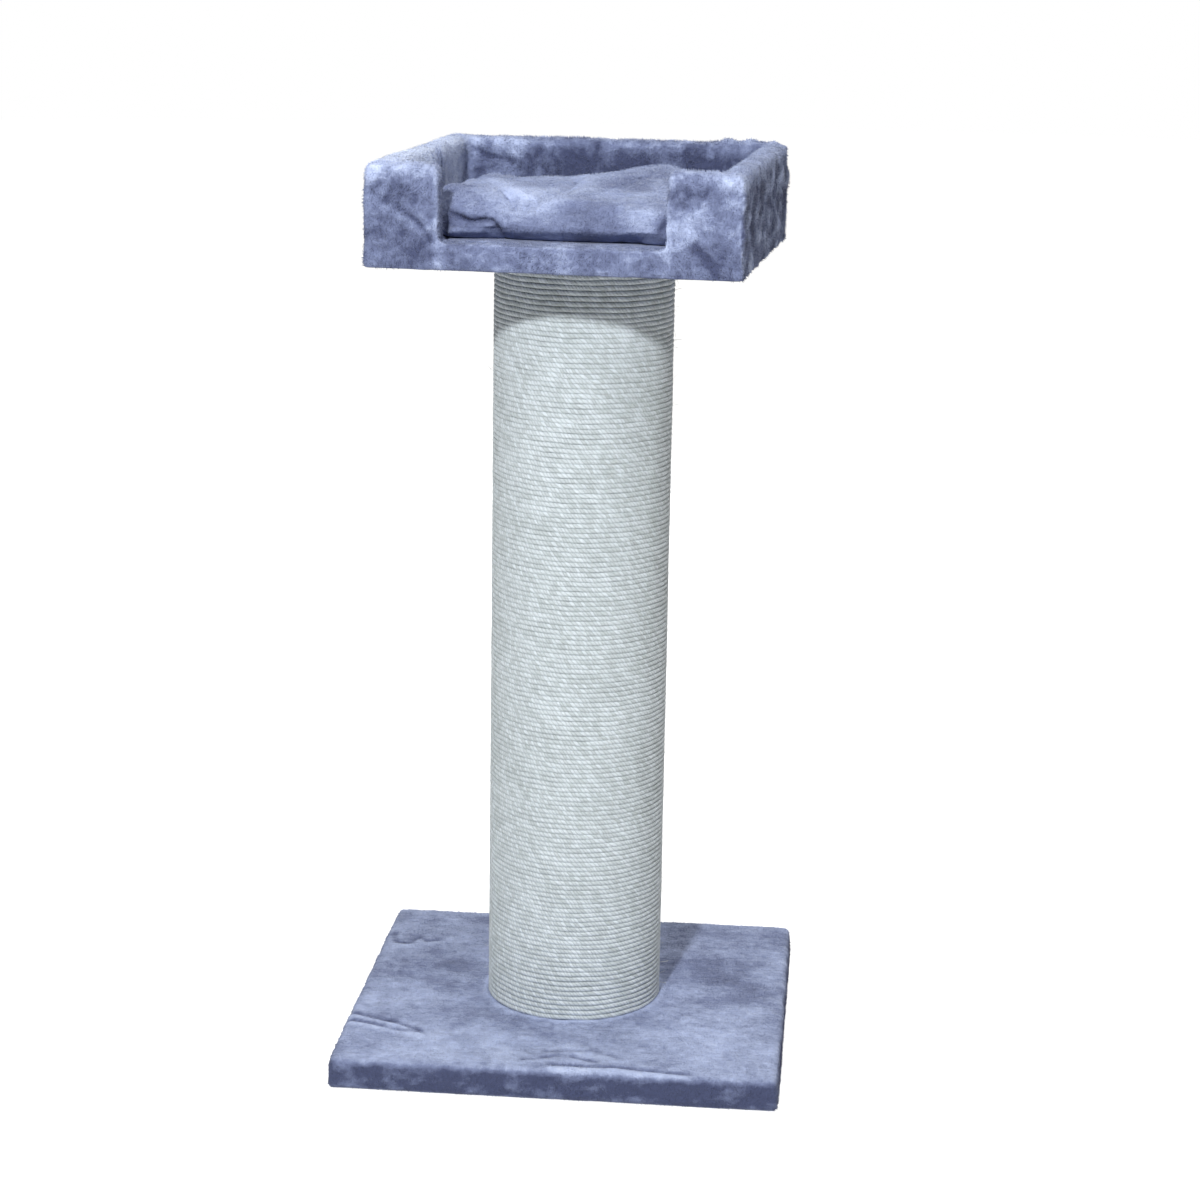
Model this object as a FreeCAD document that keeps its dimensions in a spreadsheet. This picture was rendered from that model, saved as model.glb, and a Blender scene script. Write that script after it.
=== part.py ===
import FreeCAD, Part
import math
import os
import re
import Sketcher
from FreeCAD import Rotation, Vector

# Cat scratching post: a square plush-covered base, a thick post wound with sisal rope, and on
# top a plush-covered bed, a box with an open front, with a loose cushion in it.
#
# Frame: +Z up, +X to the right as seen from the bed's open front, +Y to the back. The origin
# lies on the floor under the middle of the base. All sizes are millimetres.
# The base and the post are modelled where they stand. The bed's pieces are modelled about the
# post's axis with z = 0 at the bed's underside, then turned and lifted onto the post.

SIZES = (
    # the plush that covers every board
    ("plush_thick", 4.4, "backing and pile, as it lies on a board"),
    ("plush_round", 8.0, "rounding of a covered edge"),
    ("hem_edge", 1.5, "bevel where the plush turns under a board"),
    ("hem_width", 48.0, "how far the plush is turned in under a board"),
    # the base
    ("base_board_width", 487.0, "chipboard, left to right"),
    ("base_board_depth", 476.0, "chipboard, front to back"),
    ("base_board_thick", 28.0, "chipboard"),
    ("base_recess_depth", 12.0, "recess under the base for the bolt's head"),
    # the post
    ("post_height", 864.0, "from the base's plush to the bed's plush"),
    ("tube_width", 189.0, "outer diameter of the wound paper tube"),
    ("tube_wall", 8.0, "wall of the paper tube"),
    ("plug_thick", 25.0, "wooden disc in each end of the tube"),
    ("plug_fit", 0.2, "clearance of a disc in the tube, on the radius"),
    # the sisal rope
    ("rope_thick", 5.0, "diameter of the rope, across the corners of its section"),
    ("rope_sides", 4, "sides of its section"),
    ("rope_gap", 0.5, "gap between neighbouring turns"),
    ("rope_seat", 0.5, "clearance between the tube and the rope"),
    ("rope_end_gap", 0.3, "clearance of the first and last turn to the plush"),
    ("rope_end_turns", 5, "turns modelled one by one at each end of the post"),
    # the two bolts, their washers, and the nuts that are pulled into the discs
    ("bolt_thick", 10.0, "shank diameter"),
    ("bolt_head_width", 16.0, "hexagon, across its flats"),
    ("bolt_head_height", 6.4, "hexagon head"),
    ("bolt_clear", 0.5, "clearance of the shank in wood, plush and washer, on the radius"),
    ("bolt_reach", 2.0, "how far the shank passes the nut"),
    ("bolt_chamfer", 1.0, "chamfer at the shank's tip"),
    ("washer_width", 30.0, "outer diameter"),
    ("washer_thick", 2.5, "washer"),
    ("washer_clear", 1.5, "clearance of the washer in its recess, on the radius"),
    ("nut_barrel_width", 13.0, "barrel of the nut"),
    ("nut_barrel_length", 12.0, "barrel of the nut"),
    ("nut_flange_width", 30.0, "flange of the nut"),
    ("nut_flange_thick", 1.6, "flange of the nut"),
    ("nut_fit", 0.05, "clearance of the bolt in the nut, on the radius"),
    ("nut_prong_width", 3.0, "prong of the nut, along the flange's rim"),
    ("nut_prong_thick", 1.6, "prong of the nut, towards the axis"),
    ("nut_prong_length", 7.0, "prong of the nut, into the wood"),
    ("nut_prongs", 3, "prongs on each nut"),
    # countersunk wood screws
    ("screw_thick", 4.0, "shank diameter"),
    ("screw_head_width", 8.0, "countersunk head"),
    ("screw_head_height", 2.4, "countersunk head"),
    ("screw_sink", 1.6, "bevel under the head"),
    ("screw_point", 1.2, "bevel at the tip"),
    ("bed_screw_length", 45.0, "screws that hold the bed's boards together"),
    ("wall_screw_inset", 44.0, "from a wall's ends to its outer upright screws"),
    ("cheek_screw_inset", 14.0, "from a cheek's free end to its upright screw"),
    ("corner_screw_inset", 20.0, "from a wall's top and foot to its corner screws"),
    # the bed
    ("bed_turn", 4.5, "turn of the bed about the post, clockwise from above, in degrees"),
    ("bed_board_width", 390.0, "chipboard, left to right"),
    ("bed_board_depth", 396.0, "chipboard, front to back"),
    ("bed_floor_thick", 20.0, "chipboard"),
    ("bed_recess_depth", 9.5, "recess in the bed's floor for the bolt's head"),
    ("wall_thick", 18.0, "chipboard of the walls and cheeks"),
    ("wall_height", 81.0, "walls and cheeks, above the floor board"),
    ("cheek_width", 53.0, "each short front wall, from a side wall to the opening"),
    # the cushion
    ("cushion_gap", 3.0, "clearance to the covered walls"),
    ("cushion_rest", 0.3, "clearance to the covered floor"),
    ("cushion_height", 58.0, "at the crown"),
    ("cushion_pull", 9.0, "how far each side draws in between the corners"),
    ("cushion_corner", 40.0, "rounding of the corners, seen from above"),
    ("cushion_cloth", 4.0, "plush cover of the cushion"),
    ("filling_gap", 0.4, "clearance between the filling and its cover"),
)

doc = FreeCAD.newDocument("scratching_post")
sheet = doc.addObject("Spreadsheet::Sheet", "sizes")
for row, (name, number, meaning) in enumerate(SIZES, start=1):
    sheet.set(f"A{row}", name)
    sheet.set(f"B{row}", str(number))
    sheet.setAlias(f"B{row}", name)
    sheet.set(f"C{row}", meaning)
doc.recompute()

# Formulas on the sheet's names that several pieces share.
BASE_TOP = "(base_board_thick + 2 * plush_thick)"
BED_LEVEL = f"({BASE_TOP} + post_height)"
FLOOR_TOP = "(plush_thick + bed_floor_thick)"
WALL_TOP = f"({FLOOR_TOP} + wall_height)"
BED_TOP = f"({WALL_TOP} + plush_thick)"
BED_WIDTH = "(bed_board_width + 2 * plush_thick)"
BED_DEPTH = "(bed_board_depth + 2 * plush_thick)"
COVERED_WALL = "(wall_thick + 2 * plush_thick)"
INNER_WIDTH = f"({BED_WIDTH} - 2 * {COVERED_WALL})"
INNER_DEPTH = f"({BED_DEPTH} - 2 * {COVERED_WALL})"
ENTRY_WIDTH = "(bed_board_width - 2 * wall_thick - 2 * cheek_width - 2 * plush_thick)"
SHANK_HOLE = "(bolt_thick + 2 * bolt_clear)"
RECESS_WIDTH = "(washer_width + 2 * washer_clear)"
DOWN = Rotation(Vector(1, 0, 0), 180)


# ------------------------------------------------------------------ building blocks


def size(name):
    """A driving dimension, read from the sheet."""
    return float(sheet.get(name))


def cells(text):
    """The names of sizes in a formula become references to their cells."""
    return re.sub(r"[a-z][a-z_]+", lambda word: f"sizes.{word[0]}", text)


def bind(thing, **formulas):
    """Ties properties of an object to the sheet."""
    for name, text in formulas.items():
        thing.setExpression(name, cells(text))
    return thing


def move(thing, x=None, y=None, z=None, turn=None):
    """Ties an object's place to the sheet."""
    for axis, text in (("x", x), ("y", y), ("z", z)):
        if text is not None:
            thing.setExpression(f"Placement.Base.{axis}", cells(text))
    if turn is not None:
        thing.setExpression("Placement.Rotation.Angle", cells(turn))
    return thing


def stand_on_post(thing, height="0"):
    """Turns a piece of the bed about the post's axis and lifts it onto the post."""
    return move(thing, z=f"{BED_LEVEL} + {height}", turn="-bed_turn")


def box(name, width, depth, height, x="0", y="0", z="0"):
    """A board, with its middle at x and y and its underside at z."""
    made = bind(doc.addObject("Part::Box", name), Length=width, Width=depth, Height=height)
    return move(made, x=f"{x} - ({width}) / 2", y=f"{y} - ({depth}) / 2", z=z)


def cylinder(name, diameter, height, z="0"):
    """A round bar on the Z axis, with its foot at z."""
    made = bind(doc.addObject("Part::Cylinder", name), Radius=f"({diameter}) / 2", Height=height)
    return move(made, z=z)


def cut(label, base, tools):
    """A piece with its own label: the base less all the tools."""
    tool = tools[0]
    if len(tools) > 1:
        tool = doc.addObject("Part::MultiFuse", f"{label}_cutters")
        tool.Shapes = tools
    made = doc.addObject("Part::Cut", label)
    made.Base = base
    made.Tool = tool
    return made


def new_body(name):
    return doc.addObject("PartDesign::Body", name)


def new_sketch(body, name, role, z="0"):
    """A sketch on one of its own body's origin planes, lifted along the plane's normal."""
    sketch = body.newObject("Sketcher::SketchObject", name)
    plane = next(f for f in body.Origin.OriginFeatures if f.Role == role)
    sketch.AttachmentSupport = (plane, [""])
    sketch.MapMode = "FlatFace"
    sketch.setExpression("AttachmentOffset.Base.z", cells(z))
    return sketch


def measure(sketch, value, *constraint):
    """Adds a constraint of size to a sketch and ties it to the sheet."""
    made = sketch.addConstraint(Sketcher.Constraint(*constraint))
    sketch.setExpression(f"Constraints[{made}]", cells(value))


def circles(body, name, diameters, z="0"):
    """A sketch of circles about the Z axis."""
    sketch = new_sketch(body, name, "XY_Plane", z)
    for index, diameter in enumerate(diameters):
        rough = 10.0 + 5.0 * index
        sketch.addGeometry(Part.Circle(Vector(), Vector(0, 0, 1), rough))
        sketch.addConstraint(Sketcher.Constraint("Coincident", index, 3, -1, 1))
        measure(sketch, diameter, "Diameter", index, 2 * rough)
    return sketch


def polygon(body, name, points, role="XY_Plane", z="0"):
    """A sketch of straight lines through points, each a pair of formulas."""
    sketch = new_sketch(body, name, role, z)
    count = len(points)
    step = 2 * math.pi / count
    rough = [Vector(30 * math.cos(k * step), 30 * math.sin(k * step)) for k in range(count)]
    for k in range(count):
        sketch.addGeometry(Part.LineSegment(rough[k], rough[(k + 1) % count]))
    for k in range(count):
        sketch.addConstraint(Sketcher.Constraint("Coincident", k, 2, (k + 1) % count, 1))
    for k, (across, along) in enumerate(points):
        measure(sketch, across, "DistanceX", -1, 1, k, 1, rough[k].x)
        measure(sketch, along, "DistanceY", -1, 1, k, 1, rough[k].y)
    return sketch


def rectangle(body, name, width, depth, x="0", y="0", z="0"):
    """A sketch of a rectangle with its middle at x and y."""
    corners = ((1, 1), (-1, 1), (-1, -1), (1, -1))
    points = [(f"{x} + {i} * ({width}) / 2", f"{y} + {j} * ({depth}) / 2") for i, j in corners]
    return polygon(body, name, points, z=z)


def pad(body, sketch, length):
    feature = body.newObject("PartDesign::Pad", f"{sketch.Name}_pad")
    feature.Profile = sketch
    bind(feature, Length=length)
    doc.recompute()


def pocket(body, sketch, depth):
    """Cuts upwards from the sketch, and makes sure that something was cut."""
    before = body.Shape.Volume
    feature = body.newObject("PartDesign::Pocket", f"{sketch.Name}_pocket")
    feature.Profile = sketch
    feature.Reversed = True
    bind(feature, Length=depth)
    doc.recompute()
    if body.Shape.Volume >= before:
        raise RuntimeError(f"{feature.Name} cut nothing")


def dress(body, kind, name, wanted, **amounts):
    """Fillets or chamfers the edges of the body whose box is accepted by wanted."""
    last = body.Tip
    edges = [f"Edge{k}" for k, edge in enumerate(last.Shape.Edges, start=1) if wanted(edge.BoundBox)]
    if not edges:
        raise RuntimeError(f"{name} found no edge")
    feature = body.newObject(f"PartDesign::{kind}", name)
    feature.Base = (last, edges)
    bind(feature, **amounts)
    doc.recompute()


def upright(edge_box):
    return edge_box.XLength < 0.01 and edge_box.YLength < 0.01


def at_height(edge_box, height):
    return abs(edge_box.ZMin - height) < 0.01 and abs(edge_box.ZMax - height) < 0.01


# ------------------------------------------------------------------ screws


def hexagon(body, name, across_corners, z="0"):
    corners = []
    for k in range(6):
        angle = math.radians(60 * k)
        corners.append((f"{across_corners} / 2 * {math.cos(angle)}", f"{across_corners} / 2 * {math.sin(angle)}"))
    return polygon(body, name, corners, z=z)


def wood_screw(name, length):
    """A countersunk screw, six-sided, that points up, with the top of its head at z = 0."""
    body = new_body(name)
    pad(body, hexagon(body, f"{name}_head", "screw_head_width"), "screw_head_height")
    under_head = body.Shape.BoundBox.ZMax
    dress(body, "Chamfer", f"{name}_sink", lambda b: at_height(b, under_head), Size="screw_sink")
    pad(body, hexagon(body, f"{name}_shank", "screw_thick"), length)
    tip = body.Shape.BoundBox.ZMax
    dress(body, "Chamfer", f"{name}_point", lambda b: at_height(b, tip), Size="screw_point")
    return body


def group(label, solids):
    """Like pieces that share one label."""
    made = doc.addObject("Part::Compound", label)
    made.Links = solids
    return made


def screw_group(label, screw, places):
    """Copies of one screw. Each place is x, y and z as formulas, and the way the screw points."""
    links = []
    for k, (x, y, z, points_to) in enumerate(places, start=1):
        link = doc.addObject("App::Link", f"{label}_{k}")
        link.LinkedObject = screw
        link.Placement.Rotation = Rotation(Vector(0, 0, 1), points_to)
        links.append(move(link, x=x, y=y, z=z))
    return group(label, links)


bed_screw = wood_screw("bed_screw", "bed_screw_length")


# ------------------------------------------------------------------ base


def make_base_board():
    """A chipboard slab with a hole for the bolt and a recess for its head."""
    body = new_body("base_board")
    slab = rectangle(body, "base_slab", "base_board_width", "base_board_depth", z="plush_thick")
    pad(body, slab, "base_board_thick")
    pocket(body, circles(body, "base_hole", [SHANK_HOLE], "plush_thick"), "base_board_thick")
    recess = circles(body, "base_recess", [RECESS_WIDTH], "plush_thick")
    pocket(body, recess, "base_recess_depth")
    return body


def make_base_cover():
    """Plush over the slab's top and sides, turned in under it as a hem."""
    body = new_body("base_cover")
    width = "(base_board_width + 2 * plush_thick)"
    depth = "(base_board_depth + 2 * plush_thick)"
    pad(body, rectangle(body, "base_skin", width, depth), BASE_TOP)
    top = body.Shape.BoundBox.ZMax
    dress(body, "Fillet", "base_rounding", lambda b: upright(b) or at_height(b, top), Radius="plush_round")
    dress(body, "Chamfer", "base_hem_edge", lambda b: at_height(b, 0), Size="hem_edge")
    inside = rectangle(body, "base_inside", "base_board_width", "base_board_depth", z="plush_thick")
    pocket(body, inside, "base_board_thick")
    window = rectangle(
        body,
        "base_window",
        "base_board_width - 2 * hem_width",
        "base_board_depth - 2 * hem_width",
    )
    pocket(body, window, "plush_thick")
    hole = circles(body, "base_cover_hole", [SHANK_HOLE], "plush_thick")
    pocket(body, hole, "base_board_thick + plush_thick")
    return body


# ------------------------------------------------------------------ bolts, washers and nuts


def make_bolt(label, length, z, rotation=None):
    """A hexagon bolt that points up, with the top of its head at z = 0."""
    body = new_body(label)
    across_corners = f"bolt_head_width / {math.cos(math.radians(30))}"
    pad(body, hexagon(body, f"{label}_head", across_corners), "bolt_head_height")
    shank = circles(body, f"{label}_shank", ["bolt_thick"], "bolt_head_height")
    pad(body, shank, length)
    tip = body.Shape.BoundBox.ZMax
    dress(body, "Chamfer", f"{label}_tip", lambda b: at_height(b, tip), Size="bolt_chamfer")
    if rotation:
        body.Placement.Rotation = rotation
    return move(body, z=z)


def make_washer(label, z):
    body = new_body(label)
    pad(body, circles(body, f"{label}_ring", ["washer_width", SHANK_HOLE]), "washer_thick")
    return move(body, z=z)


def make_nut(label, z, rotation=None):
    """A nut with a barrel and prongs that go down into the wood, and its flange above z = 0."""
    body = new_body(label)
    bore = "bolt_thick + 2 * nut_fit"
    barrel = circles(body, f"{label}_barrel", ["nut_barrel_width", bore], "-nut_barrel_length")
    pad(body, barrel, "nut_barrel_length + nut_flange_thick")
    pad(body, circles(body, f"{label}_flange", ["nut_flange_width", bore]), "nut_flange_thick")
    prong = rectangle(
        body,
        f"{label}_prong",
        "nut_prong_thick",
        "nut_prong_width",
        x="nut_flange_width / 2 - nut_prong_thick",
        z="-nut_prong_length",
    )
    pad(body, prong, "nut_prong_length + nut_flange_thick / 2")
    around = body.newObject("PartDesign::PolarPattern", f"{label}_prongs")
    around.Originals = [body.Tip]
    around.Axis = (prong, ["N_Axis"])
    around.Angle = 360
    bind(around, Occurrences="nut_prongs")
    body.Tip = around
    if rotation:
        body.Placement.Rotation = rotation
    return move(body, z=z)


# ------------------------------------------------------------------ post


def make_tube():
    body = new_body("post_tube")
    walls = circles(body, "tube_ring", ["tube_width", "tube_width - 2 * tube_wall"], BASE_TOP)
    pad(body, walls, "post_height")
    return body


def make_plug(label, z, nut):
    """A wooden disc that is glued into an end of the tube and holds the nut."""
    disc = cylinder(f"{label}_disc", "tube_width - 2 * tube_wall - 2 * plug_fit", "plug_thick", z)
    hole = cylinder(f"{label}_hole", SHANK_HOLE, "plug_thick", z)
    return cut(label, disc, [hole, nut])


def rope_point(turns, foot):
    """A point of the rope's middle line, counted in turns from its foot. It starts at the back."""
    radius = size("tube_width") / 2 + size("rope_seat") + size("rope_thick") / 2
    angle = 2 * math.pi * turns + math.pi / 2
    pitch = size("rope_thick") + size("rope_gap")
    return Vector(radius * math.cos(angle), radius * math.sin(angle), foot + pitch * turns)


def rope_direction(turns, foot):
    step = 1e-4
    return (rope_point(turns + step, foot) - rope_point(turns - step, foot)).normalize()


def biarc(start, start_way, end, end_way):
    """Two arcs that join two points and keep the directions there."""
    chord = end - start
    square = 2 * (start_way.dot(end_way) - 1)
    linear = -2 * chord.dot(start_way + end_way)
    root = math.sqrt(linear * linear - 4 * square * chord.dot(chord))
    reach = (-linear - root) / (2 * square)
    if reach < 0:
        reach = (-linear + root) / (2 * square)
    corners = (start + start_way * reach, end - end_way * reach)
    joint = (corners[0] + corners[1]) * 0.5
    arcs = []
    for first, corner, last in ((start, corners[0], joint), (joint, corners[1], end)):
        middle = (first + last) * 0.5
        half_turn = math.acos((last - first).Length / 2 / reach)
        rise = reach / math.tan(half_turn) * (1 - math.cos(half_turn))
        arcs.append(Part.Arc(first, middle + (corner - middle).normalize() * rise, last).toShape())
    return arcs


def rope_path(turns, foot):
    """The middle line of some turns: half turns as biarcs, with a straight end one rope long."""
    ends = (rope_direction(0, foot), rope_direction(turns, foot))
    first = rope_point(0, foot)
    last = rope_point(turns, foot)
    edges = [Part.LineSegment(first - ends[0] * size("rope_thick"), first).toShape()]
    for half in range(2 * turns):
        a, b = half / 2, (half + 1) / 2
        edges += biarc(rope_point(a, foot), rope_direction(a, foot), rope_point(b, foot), rope_direction(b, foot))
    edges.append(Part.LineSegment(last, last + ends[1] * size("rope_thick")).toShape())
    return Part.Wire(edges)


def least_gap(path):
    """The least gap of the rope to its next turn, measured from points on its middle line."""
    arcs_in_turn = 4
    apart = []
    for k, edge in enumerate(path.Edges[:-arcs_in_turn]):
        next_turn = Part.Wire(path.Edges[k + arcs_in_turn - 1:k + arcs_in_turn + 2])
        for point in edge.discretize(Number=3):
            apart.append(Part.Vertex(point).distToShape(next_turn)[0])
    return min(apart) - size("rope_thick")


def rope_turns(turns, foot):
    """Some turns of the rope as one unbroken faceted tube, with a corner of its section outwards."""
    path = rope_path(turns, foot)
    start = path.Edges[0].valueAt(path.Edges[0].FirstParameter)
    out = Vector(0, 1, 0)
    up = rope_direction(0, foot).cross(out)
    sides = int(size("rope_sides"))
    rim = []
    for k in range(sides):
        angle = 2 * math.pi * k / sides
        rim.append(start + (out * math.cos(angle) + up * math.sin(angle)) * (size("rope_thick") / 2))
    section = Part.makePolygon(rim + rim[:1])
    tube = path.makePipeShell([section], True, False)
    solid_share = tube.Volume / (Part.Face(section).Area * path.Length)
    print(f"rope: least gap to itself {least_gap(path):.3f} mm, volume {solid_share:.4f} of section times length")
    return tube


def make_rope(tube):
    """Sisal wound tightly round the tube: single turns at both ends, one plain sleeve between them."""
    thick = size("rope_thick")
    room = tube.Shape.BoundBox
    turns = int(size("rope_end_turns"))
    height = turns * (thick + size("rope_gap"))
    foot = room.ZMin + size("rope_end_gap") + thick / 2
    head = room.ZMax - size("rope_end_gap") - thick / 2 - height
    inner = size("tube_width") / 2 + size("rope_seat")
    bottom = foot + height + thick / 2 + size("rope_gap")
    length = head - thick / 2 - size("rope_gap") - bottom
    sleeve = Part.makeCylinder(inner + thick, length, Vector(0, 0, bottom))
    sleeve = sleeve.cut(Part.makeCylinder(inner, length, Vector(0, 0, bottom)))
    rope = doc.addObject("Part::Feature", "sisal_rope")
    rope.Shape = Part.makeCompound([rope_turns(turns, foot), sleeve, rope_turns(turns, head)])
    return rope


# ------------------------------------------------------------------ bed


def make_bed_boards():
    """The floor and the walls of the box, where they lie before the bed is lifted."""
    side = "(bed_board_width - wall_thick) / 2"
    end = "(bed_board_depth - wall_thick) / 2"
    cheek = "(bed_board_width / 2 - wall_thick - cheek_width / 2)"
    across = "bed_board_width - 2 * wall_thick"
    low = FLOOR_TOP
    deep = "bed_board_depth"
    return {
        "bed_floor_board": box(
            "floor_blank", "bed_board_width", deep, "bed_floor_thick", z="plush_thick"
        ),
        "left_wall_board": box(
            "left_wall_blank", "wall_thick", deep, "wall_height", f"-{side}", z=low
        ),
        "right_wall_board": box("right_wall_blank", "wall_thick", deep, "wall_height", side, z=low),
        "back_wall_board": box("back_wall_blank", across, "wall_thick", "wall_height", "0", end, low),
        "left_cheek_board": box(
            "left_cheek_blank", "cheek_width", "wall_thick", "wall_height", f"-{cheek}", f"-{end}", low
        ),
        "right_cheek_board": box(
            "right_cheek_blank", "cheek_width", "wall_thick", "wall_height", cheek, f"-{end}", low
        ),
    }


def upright_screw_places():
    """Up through the floor board into the walls and cheeks."""
    side = "(bed_board_width - wall_thick) / 2"
    end = "(bed_board_depth - wall_thick) / 2"
    along_side = "(bed_board_depth / 2 - wall_screw_inset)"
    along_back = "(bed_board_width / 2 - wall_thick - wall_screw_inset)"
    cheek = "(bed_board_width / 2 - wall_thick - cheek_width + cheek_screw_inset)"
    plan = [(f"{i} * {side}", f"{j} * {along_side}") for i in (-1, 1) for j in (-1, 0, 1)]
    plan += [(f"{i} * {along_back}", end) for i in (-1, 0, 1)]
    plan += [(f"{i} * {cheek}", f"-{end}") for i in (-1, 1)]
    return [(x, y, "plush_thick", Vector(0, 0, 1)) for x, y in plan]


def corner_screw_places():
    """Through the side walls into the ends of the back wall and the cheeks."""
    end = "(bed_board_depth - wall_thick) / 2"
    heights = (f"{FLOOR_TOP} + corner_screw_inset", f"{WALL_TOP} - corner_screw_inset")
    places = []
    for i in (-1, 1):
        for j in (-1, 1):
            for z in heights:
                places.append((f"{i} * bed_board_width / 2", f"{j} * {end}", z, Vector(-i, 0, 0)))
    return places


def make_wall_cover(boards):
    """One plush wrap over the outside, the rims and the inside of all the walls, hemmed below."""
    body = new_body("wall_skin")
    pad(body, rectangle(body, "wall_skin_outline", BED_WIDTH, BED_DEPTH), BED_TOP)
    inside = rectangle(body, "wall_skin_inside", INNER_WIDTH, INNER_DEPTH, z=FLOOR_TOP)
    pocket(body, inside, f"{BED_TOP} - {FLOOR_TOP}")
    entry = rectangle(
        body,
        "wall_skin_entry",
        ENTRY_WIDTH,
        COVERED_WALL,
        y=f"-({BED_DEPTH} - {COVERED_WALL}) / 2",
        z=f"{FLOOR_TOP} + plush_thick",
    )
    pocket(body, entry, f"{BED_TOP} - {FLOOR_TOP} - plush_thick")
    room = body.Shape.BoundBox
    covered_wall = size("wall_thick") + 2 * size("plush_thick")

    def rounded(edge):
        outer = max(abs(edge.XMin), abs(edge.XMax)) > room.XMax - 0.01
        cheek_end = edge.YMax < room.YMin + covered_wall + 0.01 and edge.XMax < room.XMax - covered_wall - 0.01
        cheek_end = cheek_end and edge.XMin > room.XMin + covered_wall + 0.01
        return at_height(edge, room.ZMax) or upright(edge) and (outer or cheek_end)

    dress(body, "Fillet", "wall_rounding", rounded, Radius="plush_round")
    dress(body, "Chamfer", "wall_hem_edge", lambda b: at_height(b, 0), Size="hem_edge")
    window = box(
        "bed_window",
        "bed_board_width - 2 * hem_width",
        "bed_board_depth - 2 * hem_width",
        "plush_thick",
    )
    return cut("bed_wall_cover", body, [*boards.values(), window])


def make_floor_cover():
    """A sheet of plush glued to the floor board between the walls."""
    body = new_body("bed_floor_cover")
    pad(body, rectangle(body, "floor_sheet", INNER_WIDTH, INNER_DEPTH, z=FLOOR_TOP), "plush_thick")
    return body


def make_bed():
    boards = make_bed_boards()
    uprights = screw_group("upright_screw_set", bed_screw, upright_screw_places())
    corners = screw_group("corner_screw_set", bed_screw, corner_screw_places())
    recess_foot = f"{FLOOR_TOP} - bed_recess_depth"
    hole = cylinder("floor_hole", SHANK_HOLE, "bed_floor_thick", "plush_thick")
    recess = cylinder("floor_recess", RECESS_WIDTH, "bed_recess_depth", recess_foot)
    cover_hole = cylinder("underside_hole", SHANK_HOLE, "plush_thick")
    underside = box(
        "underside_sheet",
        "bed_board_width - 2 * hem_width",
        "bed_board_depth - 2 * hem_width",
        "plush_thick",
    )
    pieces = [
        group("upright_screws", [uprights]),
        group("corner_screws", [corners]),
        make_wall_cover(boards),
        make_floor_cover(),
        cut("bed_underside_cover", underside, [cover_hole]),
        cut("bed_floor_board", boards.pop("bed_floor_board"), [hole, recess, uprights]),
    ]
    for label, board in boards.items():
        pieces.append(cut(label, board, [uprights, corners]))
    return pieces


# ------------------------------------------------------------------ cushion


# The cushion's outline at shares of its height, as shares of its widest outline.
CUSHION_SECTIONS = ((0.92, 0), (0.985, 0.14), (1, 0.32), (0.965, 0.5), (0.82, 0.72), (0.56, 0.9), (0.24, 1))
CORNER_STEPS = 3
SIDE_STEPS = 4


def cushion_outline(skin):
    """Corners of the widest outline: a square with round corners and sides that draw in."""
    inner_wall = size("wall_thick") + size("plush_thick") + size("cushion_gap") + skin
    a = size("bed_board_width") / 2 - inner_wall
    b = size("bed_board_depth") / 2 - inner_wall
    r = size("cushion_corner")
    corners = []
    for quarter, (reach, half) in enumerate(((a, b), (b, a), (a, b), (b, a))):
        turn = Rotation(Vector(0, 0, 1), 90 * quarter)
        for k in range(SIDE_STEPS):
            along = 2 * k / SIDE_STEPS - 1
            drawn_in = size("cushion_pull") * (1 - along * along)
            corners.append(turn.multVec(Vector(reach - drawn_in, along * (half - r), 0)))
        for k in range(CORNER_STEPS):
            angle = math.pi / 2 * k / CORNER_STEPS
            round_point = Vector(reach - r + r * math.cos(angle), half - r + r * math.sin(angle), 0)
            corners.append(turn.multVec(round_point))
    return corners


def flat_face(corners):
    return Part.Face(Part.makePolygon([*corners, corners[0]]))


def cushion_form(skin):
    """The cushion less a skin all round: a flat foot, round sides and a crown, in flat facets.

    Its sections are one outline at several scales, so every facet between two of them is flat."""
    outline = cushion_outline(skin)
    room = size("cushion_height") - 2 * skin
    rings = []
    for scale, share in CUSHION_SECTIONS:
        rings.append([Vector(p.x * scale, p.y * scale, skin + share * room) for p in outline])
    faces = [flat_face(rings[0]), flat_face(rings[-1])]
    for lower, upper in zip(rings, rings[1:]):
        for k in range(len(outline)):
            faces.append(flat_face([lower[k - 1], lower[k], upper[k], upper[k - 1]]))
    return Part.makeSolid(Part.makeShell(faces))


def make_cushion():
    cover = doc.addObject("Part::Feature", "cushion_cover")
    cloth = size("cushion_cloth")
    cover.Shape = cushion_form(0).cut(cushion_form(cloth))
    filling = doc.addObject("Part::Feature", "cushion_filling")
    filling.Shape = cushion_form(cloth + size("filling_gap"))
    return [cover, filling]


# ------------------------------------------------------------------ assembly

lower_face = f"{BASE_TOP} + plug_thick"
upper_face = f"{BED_LEVEL} - plug_thick"
base_bearing = "plush_thick + base_recess_depth - washer_thick"
bed_bearing = f"{FLOOR_TOP} - bed_recess_depth + washer_thick"
past_nut = "plug_thick + nut_flange_thick + bolt_reach"

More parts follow.
